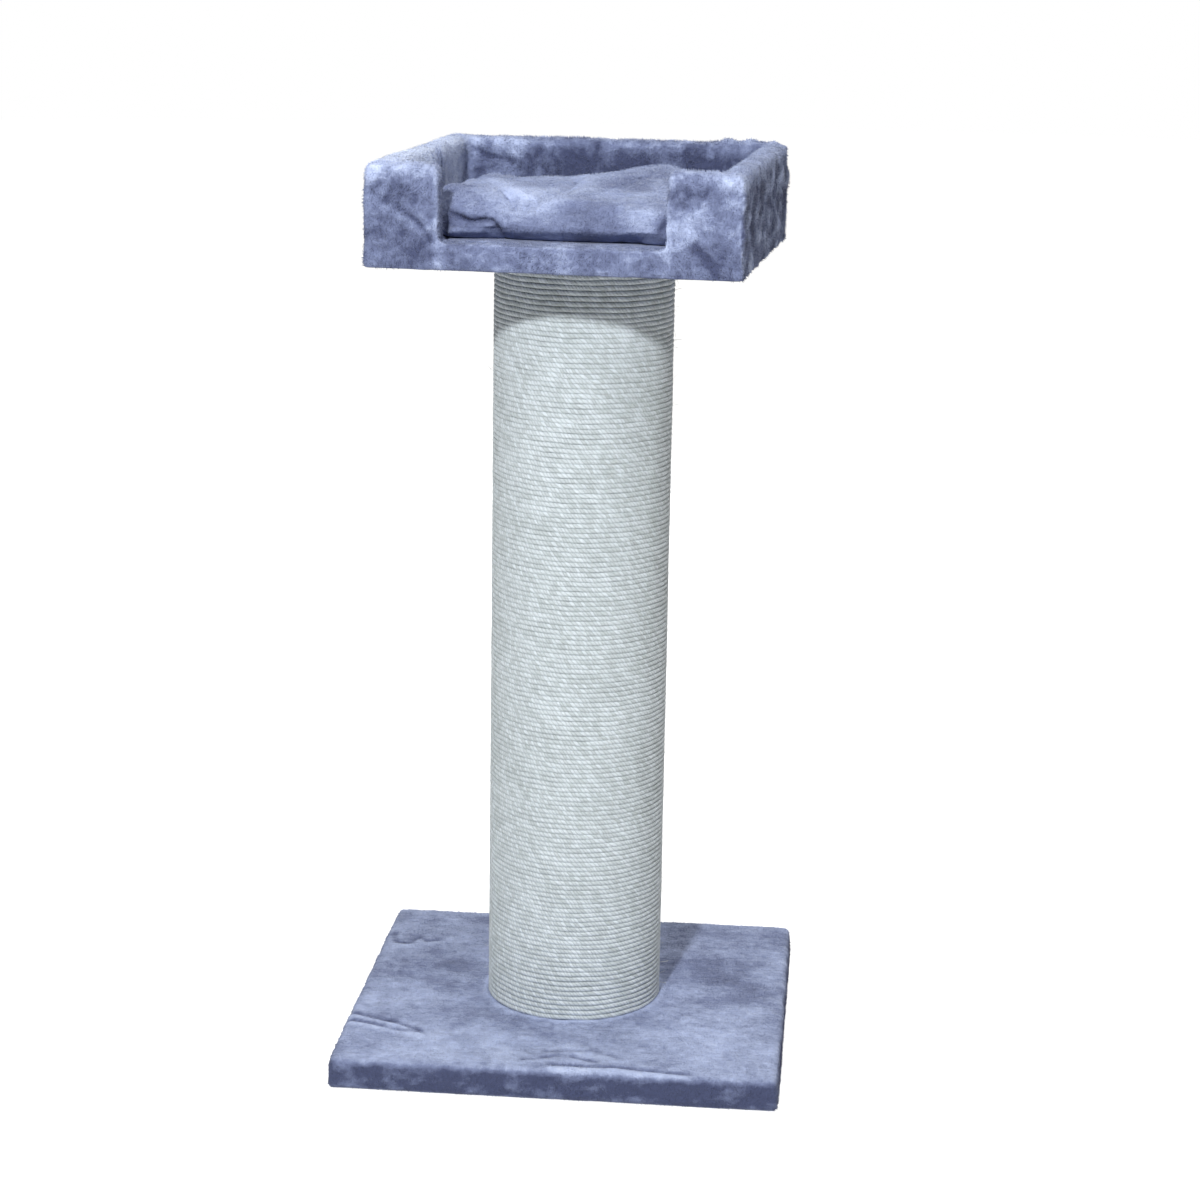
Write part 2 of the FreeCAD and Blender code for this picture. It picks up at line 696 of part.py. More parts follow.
base_bolt = make_bolt(
    "base_bolt",
    f"{BASE_TOP} + {past_nut} - ({base_bearing})",
    f"{base_bearing} - bolt_head_height",
)
bed_bolt = make_bolt(
    "bed_bolt",
    f"{bed_bearing} + {past_nut}",
    f"{BED_LEVEL} + {bed_bearing} + bolt_head_height",
    DOWN,
)
base_washer = make_washer("base_washer", base_bearing)
bed_washer = make_washer("bed_washer", f"{BED_LEVEL} + {bed_bearing} - washer_thick")
lower_nut = make_nut("lower_nut", lower_face)
upper_nut = make_nut("upper_nut", upper_face, DOWN)
lower_plug = make_plug("lower_plug", BASE_TOP, lower_nut)
upper_plug = make_plug("upper_plug", upper_face, upper_nut)
post_tube = make_tube()

subparts = [
    make_base_board(),
    make_base_cover(),
    group("bolts", [base_bolt, bed_bolt]),
    group("washers", [base_washer, bed_washer]),
    group("prong_nuts", [lower_nut, upper_nut]),
    group("end_plugs", [lower_plug, upper_plug]),
    post_tube,
    make_rope(post_tube),
]
subparts += [stand_on_post(piece) for piece in make_bed()]
for piece in make_cushion():
    subparts.append(stand_on_post(piece, f"{FLOOR_TOP} + plush_thick + cushion_rest"))
doc.recompute()

for thing in doc.Objects:
    if "Invalid" in thing.State or "Error" in thing.State:
        raise RuntimeError(f"{thing.Name} failed: {thing.State}")
for piece in subparts:
    if piece.Shape.isNull() or not piece.Shape.isValid():
        raise RuntimeError(f"{piece.Label} has no valid shape")

os.makedirs("parts", exist_ok=True)
for piece in subparts:
    piece.Shape.exportStep(f"parts/{piece.Label}.step")
    print(f"{piece.Label}: {len(piece.Shape.Solids)} solids, {piece.Shape.Volume / 1000:.1f} cm3")
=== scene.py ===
import math

import bmesh
import bpy
import numpy as np
from mathutils import Matrix, Vector, noise


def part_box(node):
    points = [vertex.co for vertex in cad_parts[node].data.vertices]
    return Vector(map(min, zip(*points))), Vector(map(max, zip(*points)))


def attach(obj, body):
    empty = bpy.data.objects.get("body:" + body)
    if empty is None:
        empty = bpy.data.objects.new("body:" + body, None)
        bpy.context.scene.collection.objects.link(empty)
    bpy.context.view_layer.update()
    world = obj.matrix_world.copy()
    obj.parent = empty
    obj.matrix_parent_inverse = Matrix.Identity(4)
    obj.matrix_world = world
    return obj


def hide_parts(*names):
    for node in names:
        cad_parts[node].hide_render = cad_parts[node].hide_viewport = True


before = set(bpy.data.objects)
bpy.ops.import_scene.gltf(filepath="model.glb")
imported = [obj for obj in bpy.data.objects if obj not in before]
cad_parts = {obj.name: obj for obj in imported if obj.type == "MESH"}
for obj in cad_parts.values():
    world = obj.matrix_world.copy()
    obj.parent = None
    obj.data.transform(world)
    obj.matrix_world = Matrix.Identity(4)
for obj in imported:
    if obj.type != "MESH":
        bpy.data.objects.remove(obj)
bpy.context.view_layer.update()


# ------------------------------------------------------------------ the studio
# A long lens looks slightly down on the post from a little to the right of its front. One soft
# lamp stands near the lens, on its left, a wide one hangs overhead and a weaker one stands behind.
# The floor is white card.

AZIMUTH, ELEVATION, ROLL = (math.radians(a) for a in (5.17, 13.93, 0.98))
LENS_PLACE = (0.2998, -3.0591, 1.2695)
FOCAL_LENGTH, SENSOR_WIDTH = 83.67, 36
LAMP_TARGET, LAMP_DISTANCE = Vector((0, 0, 0.6)), 3.4
CARD_RADIUS, CARD_GLOW = 14, 0.83


def link(data, name):
    """A new object of this mesh, lamp or camera, in the scene."""
    piece = bpy.data.objects.new(name, data)
    bpy.context.scene.collection.objects.link(piece)
    return piece


def seen_from(azimuth, elevation):
    """The direction from the post to a place that sees it from so far round and so high up."""
    level = math.cos(elevation)
    return Vector((math.sin(azimuth) * level, -math.cos(azimuth) * level, math.sin(elevation)))


toward_lens = seen_from(AZIMUTH, ELEVATION)
level_right = Vector((math.cos(AZIMUTH), math.sin(AZIMUTH), 0))
level_up = toward_lens.cross(level_right)
right = level_right * math.cos(ROLL) + level_up * math.sin(ROLL)
up = level_up * math.cos(ROLL) - level_right * math.sin(ROLL)
lens = bpy.data.cameras.new("camera")
lens.lens = FOCAL_LENGTH
lens.sensor_width = SENSOR_WIDTH
camera = link(lens, "camera")
camera.matrix_world = Matrix.Translation(LENS_PLACE) @ Matrix((right, up, toward_lens)).transposed().to_4x4()
bpy.context.scene.camera = camera


def lamp(name, azimuth, elevation, width, watts, colour):
    """A round soft lamp that looks at the middle of the post."""
    away = seen_from(math.radians(azimuth), math.radians(elevation))
    data = bpy.data.lights.new(name, "AREA")
    data.shape = "DISK"
    data.size = width
    data.energy = watts
    data.color = colour
    light = link(data, name)
    light.location = LAMP_TARGET + away * LAMP_DISTANCE
    light.rotation_euler = away.to_track_quat("Z", "Y").to_euler()


lamp("front_lamp", -7, 33, 0.2, 90, (0.96, 0.985, 1))
lamp("overhead_lamp", 40, 66, 2.2, 27, (0.98, 0.99, 1))
lamp("rear_lamp", 176, 22, 1.6, 40, (0.98, 0.99, 1))


class Tree:
    """A node tree in the making. Inputs go by name or number: a node or socket is linked, a value set."""

    def __init__(self, tree):
        self.tree = tree

    def fill(self, node, inputs):
        for key, value in inputs.items():
            if isinstance(value, bpy.types.Node):
                value = next(socket for socket in value.outputs if socket.enabled)
            if isinstance(value, bpy.types.NodeSocket):
                self.tree.links.new(value, node.inputs[key])
            else:
                node.inputs[key].default_value = value

    def add(self, kind, inputs=None, **settings):
        node = self.tree.nodes.new(kind)
        for key, value in settings.items():
            setattr(node, key, value)
        self.fill(node, inputs or {})
        return node

    def maths(self, operation, *values):
        return self.add("ShaderNodeMath", dict(enumerate(values)), operation=operation)

    def vectors(self, operation, *values):
        return self.add("ShaderNodeVectorMath", dict(enumerate(values)), operation=operation)

    def scaled(self, vector, by):
        return self.add("ShaderNodeVectorMath", {0: vector, "Scale": by}, operation="SCALE")

    def clouds(self, place, scale, detail=2, roughness=0.5, distortion=0):
        inputs = {"Scale": scale, "Detail": detail, "Roughness": roughness, "Distortion": distortion}
        return self.add("ShaderNodeTexNoise", {"Vector": place, **inputs})

    def xyz(self, x=0, y=0, z=0):
        return self.add("ShaderNodeCombineXYZ", {0: x, 1: y, 2: z})

    def read(self, name):
        return self.add("ShaderNodeAttribute", attribute_name=name).outputs["Fac"]

    def ranged(self, value, low, high, start=0, end=1, **settings):
        """The value's range from start to end, stretched to one from low to high."""
        inputs = {"Value": value, "From Min": start, "From Max": end, "To Min": low, "To Max": high}
        return self.add("ShaderNodeMapRange", inputs, **settings)

    def random(self, seed, low, high):
        """A random number, or a random vector where low and high are vectors."""
        first, kind = (0, "FLOAT_VECTOR") if isinstance(low, tuple) else (2, "FLOAT")
        inputs = {first: low, first + 1: high, "Seed": seed}
        return self.add("FunctionNodeRandomValue", inputs, data_type=kind)

    def ramp(self, share, *stops):
        """A colour ramp through stops of (position, colour), from the lowest to the highest."""
        node = self.add("ShaderNodeValToRGB", {"Fac": share})
        marks = node.color_ramp.elements
        for mark, (position, colour) in zip((marks[0], marks[1]), (stops[0], stops[-1])):
            mark.position = position
            mark.color = (*colour, 1)
        for position, colour in stops[1:-1]:
            marks.new(position).color = (*colour, 1)
        return node

    def blended(self, a, b, factor=1, **settings):
        return self.add("ShaderNodeMix", {"Factor": factor, "A": a, "B": b}, data_type="RGBA", **settings)

    def bumped(self, shader, *layers):
        """Bumps of (height, strength, distance) on the shader, each on top of the one before."""
        under = None
        for height, strength, distance in layers:
            bump = self.add("ShaderNodeBump", {"Height": height, "Strength": strength, "Distance": distance})
            if under is not None:
                self.fill(bump, {"Normal": under})
            under = bump
        self.fill(shader, {"Normal": under})

    def sees_backdrop(self):
        """1 for rays from the lens, a gloss or a clear piece, 0 for those that carry light."""
        rays = self.add("ShaderNodeLightPath").outputs
        plain = self.maths("MAXIMUM", rays["Is Camera Ray"], rays["Is Glossy Ray"])
        return self.maths("MAXIMUM", plain, rays["Is Transmission Ray"])


world = bpy.data.worlds.new("studio")
bpy.context.scene.world = world
world.use_nodes = True
world.node_tree.nodes.clear()
sky = Tree(world.node_tree)
around = sky.add("ShaderNodeBackground", {"Color": (1, 0.96, 0.88, 1), "Strength": 0.25})
seen = sky.add("ShaderNodeBackground", {"Color": (1, 1, 1, 1)})
choose = sky.add("ShaderNodeMixShader", {0: sky.sees_backdrop(), 1: around, 2: seen})
sky.add("ShaderNodeOutputWorld", {"Surface": choose})

card = bmesh.new()
bmesh.ops.create_circle(card, cap_ends=True, segments=64, radius=CARD_RADIUS)
floor_mesh = bpy.data.meshes.new("floor")
card.to_mesh(floor_mesh)
card.free()
floor = link(floor_mesh, "floor")
white_card = bpy.data.materials.new("white_card")
white_card.use_nodes = True
white_card.node_tree.nodes.clear()
paper = Tree(white_card.node_tree)
matt = paper.add("ShaderNodeBsdfDiffuse", {"Color": (0.86, 0.86, 0.86, 1)})
strength = paper.maths("MULTIPLY", paper.sees_backdrop(), CARD_GLOW)
glow = paper.add("ShaderNodeEmission", {"Strength": strength})
both = paper.add("ShaderNodeAddShader", {0: matt, 1: glow})
paper.add("ShaderNodeOutputMaterial", {"Surface": both})
floor_mesh.materials.append(white_card)

bpy.context.scene.view_settings.view_transform = "Standard"


# ------------------------------------------------------------------ base
# A slab of chipboard wrapped in one piece of short blue-grey plush, which goes over its top and
# sides and is stapled to its underside as a hem. The pile lies in brushed patches, light and dark,
# and painted light and shade go into the same colour: tops lighter than sides, creases darker.

CLOTH = 0.0042  # backing and pressed pile
BASE_X, BASE_Y, BASE_TOP = (round(edge, 4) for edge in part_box("base_cover")[1])
HEM_X, HEM_Y = 0.1955, 0.19
# LIGHTEST, beyond LIGHT, is reached in the lightest patches and where painted sheen lifts the value, as on
# the inside of the bed's left wall.
DARK, MIDDLE, LIGHT, LIGHTEST = (0.075, 0.088, 0.17), (0.21, 0.245, 0.4), (0.5, 0.57, 0.8), (0.68, 0.75, 0.95)


def finished(piece):
    """The piece with its modifiers made into its mesh."""
    bpy.context.view_layer.update()
    seen_as = piece.evaluated_get(bpy.context.evaluated_depsgraph_get())
    mesh = bpy.data.meshes.new_from_object(seen_as)
    piece.modifiers.clear()
    piece.data = mesh
    mesh.name = piece.name
    return piece


def clamped(share):
    return max(0, min(1, share))


def bell(*ratios):
    """1 where every ratio is 0, falling softly to nearly 0 where one of them is 2."""
    return math.exp(-sum(ratio**2 for ratio in ratios))


def fbm(point, scale, octaves=3):
    """Soft noise from about -1 to 1 at so many waves a metre; scale may differ by axis."""
    stretched = Vector((point[0] * scale[0], point[1] * scale[1], point[2] * scale[2]))
    return noise.fractal(stretched, 0.8, 2.1, octaves, noise_basis="PERLIN_ORIGINAL")


def near(point, path, reach, power=2):
    """1 on a path of points, falling to 0 within about twice the reach, sharply if power is low."""
    best = math.inf
    for a, b in zip(path, path[1:]):
        a, b = Vector(a), Vector(b)
        t = clamped((point - a).dot(b - a) / (b - a).length_squared)
        best = min(best, (point - a - (b - a) * t).length)
    return math.exp(-((best / reach) ** power))


def pile_and_light_spots(point, soft_spots):
    """What the listed soft spots add at a point, each (x, y, z, reach, amount): patches of the pile, and in
    places painted light and shade.
    """
    return sum(amount * bell((point - Vector(spot)).length / reach) for *spot, reach, amount in soft_spots)


def painted(mesh, name, values):
    """A named number at each point of the mesh."""
    mesh.attributes.new(name, "FLOAT", "POINT").data.foreach_set("value", values)


def slab_blocks(name, blocks):
    """A piece of solid blocks, each from its lowest to its highest corner."""
    solid = bmesh.new()
    for low, high in blocks:
        low, high = Vector(low), Vector(high)
        made = bmesh.ops.create_cube(solid, size=1)
        middle = Matrix.Translation((low + high) / 2) @ Matrix.Diagonal((*(high - low), 1))
        bmesh.ops.transform(solid, matrix=middle, verts=made["verts"])
    mesh = bpy.data.meshes.new(name)
    solid.to_mesh(mesh)
    solid.free()
    return link(mesh, name)


def remeshed(piece, spacing):
    even = piece.modifiers.new("even", "REMESH")
    even.mode = "VOXEL"
    even.voxel_size = spacing


def fuller(piece, low, high, top, rounds):
    """Round the piece off above low, most of all above high, and bring it back up to top."""
    group = piece.vertex_groups.new(name="rim")
    for v in piece.data.vertices:
        group.add([v.index], clamped((v.co.z - low) / (high - low)), "REPLACE")
    soft = piece.modifiers.new("rims", "SMOOTH")
    soft.vertex_group = "rim"
    soft.iterations = rounds
    finished(piece)
    piece.vertex_groups.clear()
    raised = top / max(v.co.z for v in piece.data.vertices)
    for v in piece.data.vertices:
        if v.co.z > low:
            v.co.z = low + (v.co.z - low) * (top - low) / (top / raised - low)


def plush_sheet(
    name, blocks, uncovered, relief, turn=0, lift=0, spacing=0.003, softening=8, rim=None, window=None
):
    """Cloth over solid blocks: an even mesh of their outside with rounded edges, fuller above rim,
    the open areas cut away, straight round the window below, the pile's relief pushed out, and the
    cloth's back behind it."""
    piece = slab_blocks(name, blocks)
    remeshed(piece, spacing)
    soft = piece.modifiers.new("soft", "SMOOTH")
    soft.iterations = softening
    finished(piece)
    if rim:
        fuller(piece, *rim)
    cloth = bmesh.new()
    cloth.from_mesh(piece.data)
    bare = [f for f in cloth.faces if uncovered(f.calc_center_median(), f.normal)]
    bmesh.ops.delete(cloth, geom=bare, context="FACES")
    if window:
        for v in cloth.verts:
            if v.is_boundary and v.normal.z < -0.7:
                for axis in (0, 1):
                    if abs(abs(v.co[axis]) - window[axis]) < spacing:
                        v.co[axis] = math.copysign(window[axis], v.co[axis])
    cloth.verts.index_update()
    front = np.array([v.co for v in cloth.verts])
    out = np.array([v.normal for v in cloth.verts])
    height, nap_and_painted_light = np.array([relief(Vector(p), Vector(n)) for p, n in zip(front, out)]).T
    faces = [[v.index for v in f.verts] for f in cloth.faces]
    edges = [e.link_loops[0] for e in cloth.edges if e.is_boundary]
    edges = [(loop.vert.index, loop.link_loop_next.vert.index) for loop in edges]
    cloth.free()
    n = len(front)
    faces += [[i + n for i in reversed(f)] for f in faces]
    faces += [[b, a, a + n, b + n] for a, b in edges]
    x, y, z = np.concatenate([front + out * height[:, None], front - out * CLOTH]).T
    c, s = math.cos(turn), math.sin(turn)
    place = np.stack([x * c - y * s, x * s + y * c, z + lift], axis=1)
    mesh = bpy.data.meshes.new(name)
    mesh.from_pydata(place.tolist(), [], faces)
    fur = np.where(out[:, 2] < -0.6, 0, 1)
    painted(mesh, "nap_and_painted_light", np.concatenate([nap_and_painted_light, nap_and_painted_light]))
    painted(mesh, "fur", np.concatenate([fur, fur * 0]))
    mesh.shade_smooth()
    piece.data = mesh
    return piece


def geometry_tree(name, numbers, whole_number):
    """A geometry tree with inputs of these names and a material, and its input sockets by name."""
    made = bpy.data.node_groups.new(name, "GeometryNodeTree")
    kinds = {"Geometry": "Geometry", **dict.fromkeys(numbers, "Float"), whole_number: "Int"}
    for label, kind in {**kinds, "Material": "Material"}.items():
        made.interface.new_socket(label, in_out="INPUT", socket_type=f"NodeSocket{kind}")
    made.interface.new_socket("Geometry", in_out="OUTPUT", socket_type="NodeSocketGeometry")
    tree = Tree(made)
    return tree, tree.add("NodeGroupInput").outputs


def stored(tree, geometry, name, value):
    """The geometry with this number kept under a name at each point."""
    inputs = {"Geometry": geometry, "Name": name, "Value": value}
    return tree.add("GeometryNodeStoreNamedAttribute", inputs, data_type="FLOAT", domain="POINT")


def ended(tree, geometry, material):
    """The end of a geometry tree: its instances made real, in the material."""
    real = tree.add("GeometryNodeRealizeInstances", {0: geometry})
    dress = tree.add("GeometryNodeSetMaterial", {"Geometry": real, "Material": material})
    tree.add("NodeGroupOutput", {0: dress})
    return tree.tree


def grown(name, tree, start=None, **values):
    """The mesh that a geometry tree makes with these input values, as a new piece."""
    piece = link(start or bpy.data.meshes.new(name), name)
    maker = piece.modifiers.new("maker", "NODES")
    maker.node_group = tree
    names = {item.name: item.identifier for item in tree.interface.items_tree if item.in_out == "INPUT"}
    for label, value in values.items():
        maker[names[label.replace("_", " ")]] = value
    finished(piece)
    piece.data.shade_smooth()
    return piece


def material_tree(name):
    """A new material, its tree, the place on the object and the shader."""
    material = bpy.data.materials.new(name)
    material.use_nodes = True
    tree = Tree(material.node_tree)
    spot = tree.add("ShaderNodeTexCoord").outputs["Object"]
    return material, tree, spot, material.node_tree.nodes["Principled BSDF"]


def plush(name, contrast, fibre=False):
    """Short plush: the nap_and_painted_light attribute and noise choose between dark, middle and light, so
    the patches of the pile and the painted light and shade in that attribute both become colour.
    """
    material, tree, spot, shader = material_tree(name)
    lying = tree.add(
        "ShaderNodeMapping", {"Vector": spot, "Scale": (60, 210, 160), "Rotation": (0.4, 0.5, 0.6)}
    )
    patches = tree.clouds(spot, 27, 4.5, 0.58, 0.5)
    streaks = tree.clouds(lying, 1, 3, 0.55, 0.4)
    tufts = tree.clouds(spot, 95, 3, 0.6, 0.25)
    fibres = tree.clouds(spot, 700, 2, 0.7)
    nap_and_painted_light = tree.read("nap_and_painted_light")
    for source, strength in ((patches, contrast), (tufts, contrast * 0.95), (streaks, 0.3), (fibres, 0.3)):
        nap_and_painted_light = tree.maths("MULTIPLY_ADD", tree.maths("SUBTRACT", source, 0.5), strength, nap_and_painted_light)
    share = tree.maths("MULTIPLY", nap_and_painted_light, 0.84)
    colour = tree.ramp(share, (0.1, DARK), (0.42, MIDDLE), (0.74, LIGHT), (1, LIGHTEST))
    if fibre:
        # Painted shade: each fibre is darker at its root, down among the others, and lighter at its tip.
        shade = tree.ranged(tree.read("tip"), 0.72, 1.25)
        colour = tree.blended(colour, shade, blend_type="MULTIPLY", clamp_result=True)
    tree.fill(
        shader,
        {
            "Base Color": colour, "Roughness": 0.95, "Specular IOR Level": 0.12,
            "Sheen Weight": 0.28, "Sheen Roughness": 0.45, "Sheen Tint": (0.78, 0.83, 1, 1),
        },
    )
    if not fibre:
        tree.bumped(shader, (tufts, 0.6, 0.005), (streaks, 0.5, 0.002), (fibres, 0.65, 0.0009))
    return material


def pile_tree():
    """Short tapered fibres on the fur side of a cloth, leaning as a slow noise says."""
    numbers = ["Fibres a square metre", "Length", "Thickness", "Lie", "Sunk"]
    tree, given = geometry_tree("plush_pile", numbers, "Seed")
    seed = given["Seed"]
    fur = tree.add("GeometryNodeInputNamedAttribute", {"Name": "fur"}, data_type="FLOAT").outputs["Attribute"]
    many = tree.maths("MULTIPLY", given["Fibres a square metre"], fur)
    spots = tree.add(
        "GeometryNodeDistributePointsOnFaces", {"Mesh": given["Geometry"], "Density": many, "Seed": seed}
    )
    swirl = tree.clouds(tree.add("GeometryNodeInputPosition"), 22, 1)
    lie = tree.scaled(tree.vectors("SUBTRACT", swirl.outputs["Color"], (0.5, 0.5, 0.56)), given["Lie"])
    loose = tree.random(seed, (-0.42,) * 3, (0.42,) * 3)
    standing = tree.vectors("ADD", tree.vectors("ADD", lie, loose), spots.outputs["Normal"])
    turned = tree.add("FunctionNodeAlignRotationToVector", {"Vector": standing}, axis="Z")
    fibre = tree.add(
        "GeometryNodeMeshCone",
        {"Vertices": 3, "Radius Bottom": given["Thickness"], "Depth": given["Length"]},
    )
    height = tree.add("ShaderNodeSeparateXYZ", {0: tree.add("GeometryNodeInputPosition")}).outputs[2]
    share = tree.maths("DIVIDE", height, given["Length"])
    tip = stored(tree, fibre, "tip", share)
    longer = tree.random(seed, 0.65, 1.3)
    sizes = tree.xyz(1, 1, longer)
    sow = tree.add(
        "GeometryNodeInstanceOnPoints",
        {"Points": spots, "Instance": tip, "Rotation": turned, "Scale": sizes},
    )
    down = tree.xyz(z=given["Sunk"])
    sink = tree.add("GeometryNodeTranslateInstances", {"Instances": sow, "Translation": down})
    return ended(tree, sink, given["Material"])


plush_pile = pile_tree()


def pile(cloth, name, fibres, material, length, lie, seed, thickness=0.00055):
    """The pile that stands on a cloth, as a piece of its own."""
    return grown(
        name,
        plush_pile,
        cloth.data.copy(),
        Fibres_a_square_metre=fibres,
        Length=length,
        Thickness=thickness,
        Lie=lie,
        Sunk=-0.0006,
        Seed=seed,
        Material=material,
    )


def base_uncovered(centre, normal):
    return normal.z < -0.7 and abs(centre.x) < HEM_X and abs(centre.y) < HEM_Y


SEAM = [(-0.049, -0.245, 0), (-0.049, -BASE_Y, 0.034), (-0.049, -0.225, BASE_TOP)]
BASE_CREASES = [
    ([(x, y, BASE_TOP) for x, y in path], reach, depth)
    for path, reach, depth in (
        ([(-0.243, -0.108), (-0.215, -0.12), (-0.186, -0.132), (-0.16, -0.15)], 0.0048, 1),
        ([(-0.24, -0.13), (-0.214, -0.138), (-0.184, -0.15), (-0.158, -0.155)], 0.0042, 0.85),
        ([(-0.238, 0.146), (-0.23, 0.118), (-0.214, 0.118), (-0.205, 0.138)], 0.0055, 1),
        ([(-0.205, 0.138), (-0.194, 0.128), (-0.182, 0.133)], 0.0045, 0.7),
        ([(-0.035, -0.216), (0.01, -0.198), (0.045, -0.212)], 0.0045, 0.55),
        ([(-0.01, -0.19), (0.04, -0.182), (0.07, -0.198)], 0.0045, 0.4),
        ([(0, -0.226), (0.07, -0.224), (0.15, -0.232)], 0.0045, 0.9),
        ([(-0.21, 0.06), (-0.208, -0.01)], 0.005, 0.25),
    )
]
BASE_STROKES = [
    (-0.15, 0.06, 0.037, 0.045, -0.2), (0.15, 0.1, 0.037, 0.05, -0.2), (-0.2, 0.14, 0.037, 0.03, -0.12),
    (-0.05, -0.2, 0.037, 0.06, 0.16), (0.17, -0.12, 0.037, 0.06, 0.16), (-0.16, -0.2, 0.037, 0.05, 0.14),
    (0.06, -0.16, 0.037, 0.05, 0.1), (-0.13, -0.1, 0.037, 0.04, -0.1), (0.13, 0.0, 0.037, 0.03, 0.12),
    (0.2, 0.03, 0.037, 0.02, -0.16), (0.165, 0.055, 0.037, 0.018, -0.14), (0.21, -0.04, 0.037, 0.02, 0.1),
    (-0.13, 0.17, 0.037, 0.05, 0.08), (0.05, -0.235, 0.02, 0.03, 0.1), (-0.2, -0.242, 0.02, 0.03, 0.12),
]


def base_relief(p, n):
    """How far the base's plush stands out at a point, and its colour value: patches of the pile, with painted
    light on the tops and edges and painted shade in the creases.
    """
    if n.z < -0.3:
        return -0.0008 - 0.0004 * fbm(p, (40, 40, 40)), 0.35
    crease = max(depth * near(p, path, reach) for path, reach, depth in BASE_CREASES)
    crease *= 0.75 + 0.5 * fbm(p, (90, 90, 90), 2)
    ring = bell((math.hypot(p.x, p.y) - 0.104) / 0.0035) * (1 if n.z > 0.5 else 0)
    up = max(0, n.z)
    shifted = p + Vector((0, 0.01, 0))
    beside = max(near(shifted, path, 1.5 * reach) * depth for path, reach, depth in BASE_CREASES)
    side_spots = fbm(p, (38, 38, 60), 4)
    # Tops much lighter than sides: partly the pile seen end-on on the sides, partly painted light from above.
    nap_and_painted_light = up * (0.64 + 0.14 * fbm(p, (6, 12, 20)) + 0.09 * fbm(p, (22, 26, 26), 3))
    nap_and_painted_light += (1 - up) * (0.02 + 0.34 * side_spots)
    # Painted shade in the creases; on the tops a painted highlight on the raised pile beside them.
    nap_and_painted_light += pile_and_light_spots(p, BASE_STROKES) + 0.16 * near(p, SEAM, 0.003) - 0.62 * crease
    nap_and_painted_light += 0.22 * beside * up + 0.2 * ring
    # Painted sheen along the rounded top edge of the sides and, fainter, along their foot.
    nap_and_painted_light += (0.3 * bell((p.z - 0.036) / 0.004) + 0.12 * bell(p.z / 0.006)) * (1 - up)
    height = 0.0006 * fbm(p, (26, 34, 34), 4) + 0.0006 * fbm(p, (90, 90, 90), 2)
    height += 0.0008 * side_spots * (1 - up)
    height += 0.0018 * beside * up + 0.0014 * ring
    return height - 0.0026 * crease - 0.001 * near(p, SEAM, 0.0025), nap_and_painted_light


base_plush = plush_sheet(
    "base_plush",
    [((-BASE_X, -BASE_Y, 0), (BASE_X, BASE_Y, BASE_TOP))],
    base_uncovered,
    base_relief,
    softening=14,
    rim=(0.022, 0.034, BASE_TOP, 22),
    window=(HEM_X, HEM_Y),
)
base_plush.data.materials.append(plush("smooth_plush", 0.5))
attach(base_plush, "root")
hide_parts("base_cover")
smooth_fibres = plush("smooth_fibres", 0.5, fibre=True)
base_pile = pile(base_plush, "base_pile", 130000, smooth_fibres, 0.0026, 4, 1, thickness=0.0005)
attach(base_pile, "root")


# ------------------------------------------------------------------ staples
# Wire staples, 11 mm wide, hold the plush's hem to the underside of the board, one every 38 mm or
# so and never quite in line. The same staples hold the hem under the bed.


def staple_tree():
    """Staples along a rectangle, each turned a little, with their legs up in the hem."""
    numbers = ["Width", "Depth", "Turned", "Level", "Spacing", "Crown", "Wire", "Leg"]
    tree, given = geometry_tree("staple_rows", numbers, "Seed")
    row = tree.add(
        "GeometryNodeCurvePrimitiveQuadrilateral", {"Width": given["Width"], "Height": given["Depth"]}
    )
    spots = tree.add("GeometryNodeCurveToPoints", {"Curve": row, "Length": given["Spacing"]}, mode="LENGTH")
    thin = given["Wire"]
    bar = tree.add("GeometryNodeMeshCube", {"Size": tree.xyz(given["Crown"], thin, thin)})
    leg = tree.add("GeometryNodeMeshCube", {"Size": tree.xyz(thin, thin, given["Leg"])})
    join = tree.add("GeometryNodeJoinGeometry")
    half = tree.maths("MULTIPLY", given["Crown"], 0.46)
    middle = tree.maths("MULTIPLY", given["Leg"], 0.5)
    for side in (1, -1):
        place = tree.xyz(tree.maths("MULTIPLY", half, side), 0, middle)
        stood = tree.add("GeometryNodeTransform", {"Geometry": leg, "Translation": place})
        tree.fill(join, {0: stood})
    tree.fill(join, {0: bar})
    askew = tree.random(given["Seed"], (-0.02, 0, -0.3), (0.02, 0, 0.3))
    along = tree.add("FunctionNodeAlignRotationToVector", {"Vector": spots.outputs["Tangent"]}, axis="X")
    loose = tree.add("FunctionNodeEulerToRotation", {0: askew})
    turned = tree.add("FunctionNodeRotateRotation", {"Rotation": along, "Rotate By": loose})
    driven = tree.add("GeometryNodeInstanceOnPoints", {"Points": spots, "Instance": join, "Rotation": turned})
    put = tree.add(
        "GeometryNodeTransform",
        {
            "Geometry": tree.add("GeometryNodeRealizeInstances", {0: driven}),
            "Translation": tree.xyz(z=given["Level"]),
            "Rotation": tree.xyz(z=given["Turned"]),
        },
    )
    return ended(tree, put, given["Material"])


def zinc():
    """Zinc-plated steel: cool grey metal with faint blue and straw clouds and fine scratches."""
    material, tree, spot, shader = material_tree("zinc_plated_steel")
    tint = tree.ramp(tree.clouds(spot, 140, 3), (0.3, (0.5, 0.53, 0.58)), (0.7, (0.66, 0.64, 0.57)))
    scratches = tree.clouds(spot, 900)
    matt = tree.ranged(scratches, 0.28, 0.5)
    tree.fill(shader, {"Base Color": tint, "Roughness": matt, "Metallic": 1})
    tree.bumped(shader, (scratches, 0.15, 0.0002))
    return material


steel = zinc()
staples = staple_tree()


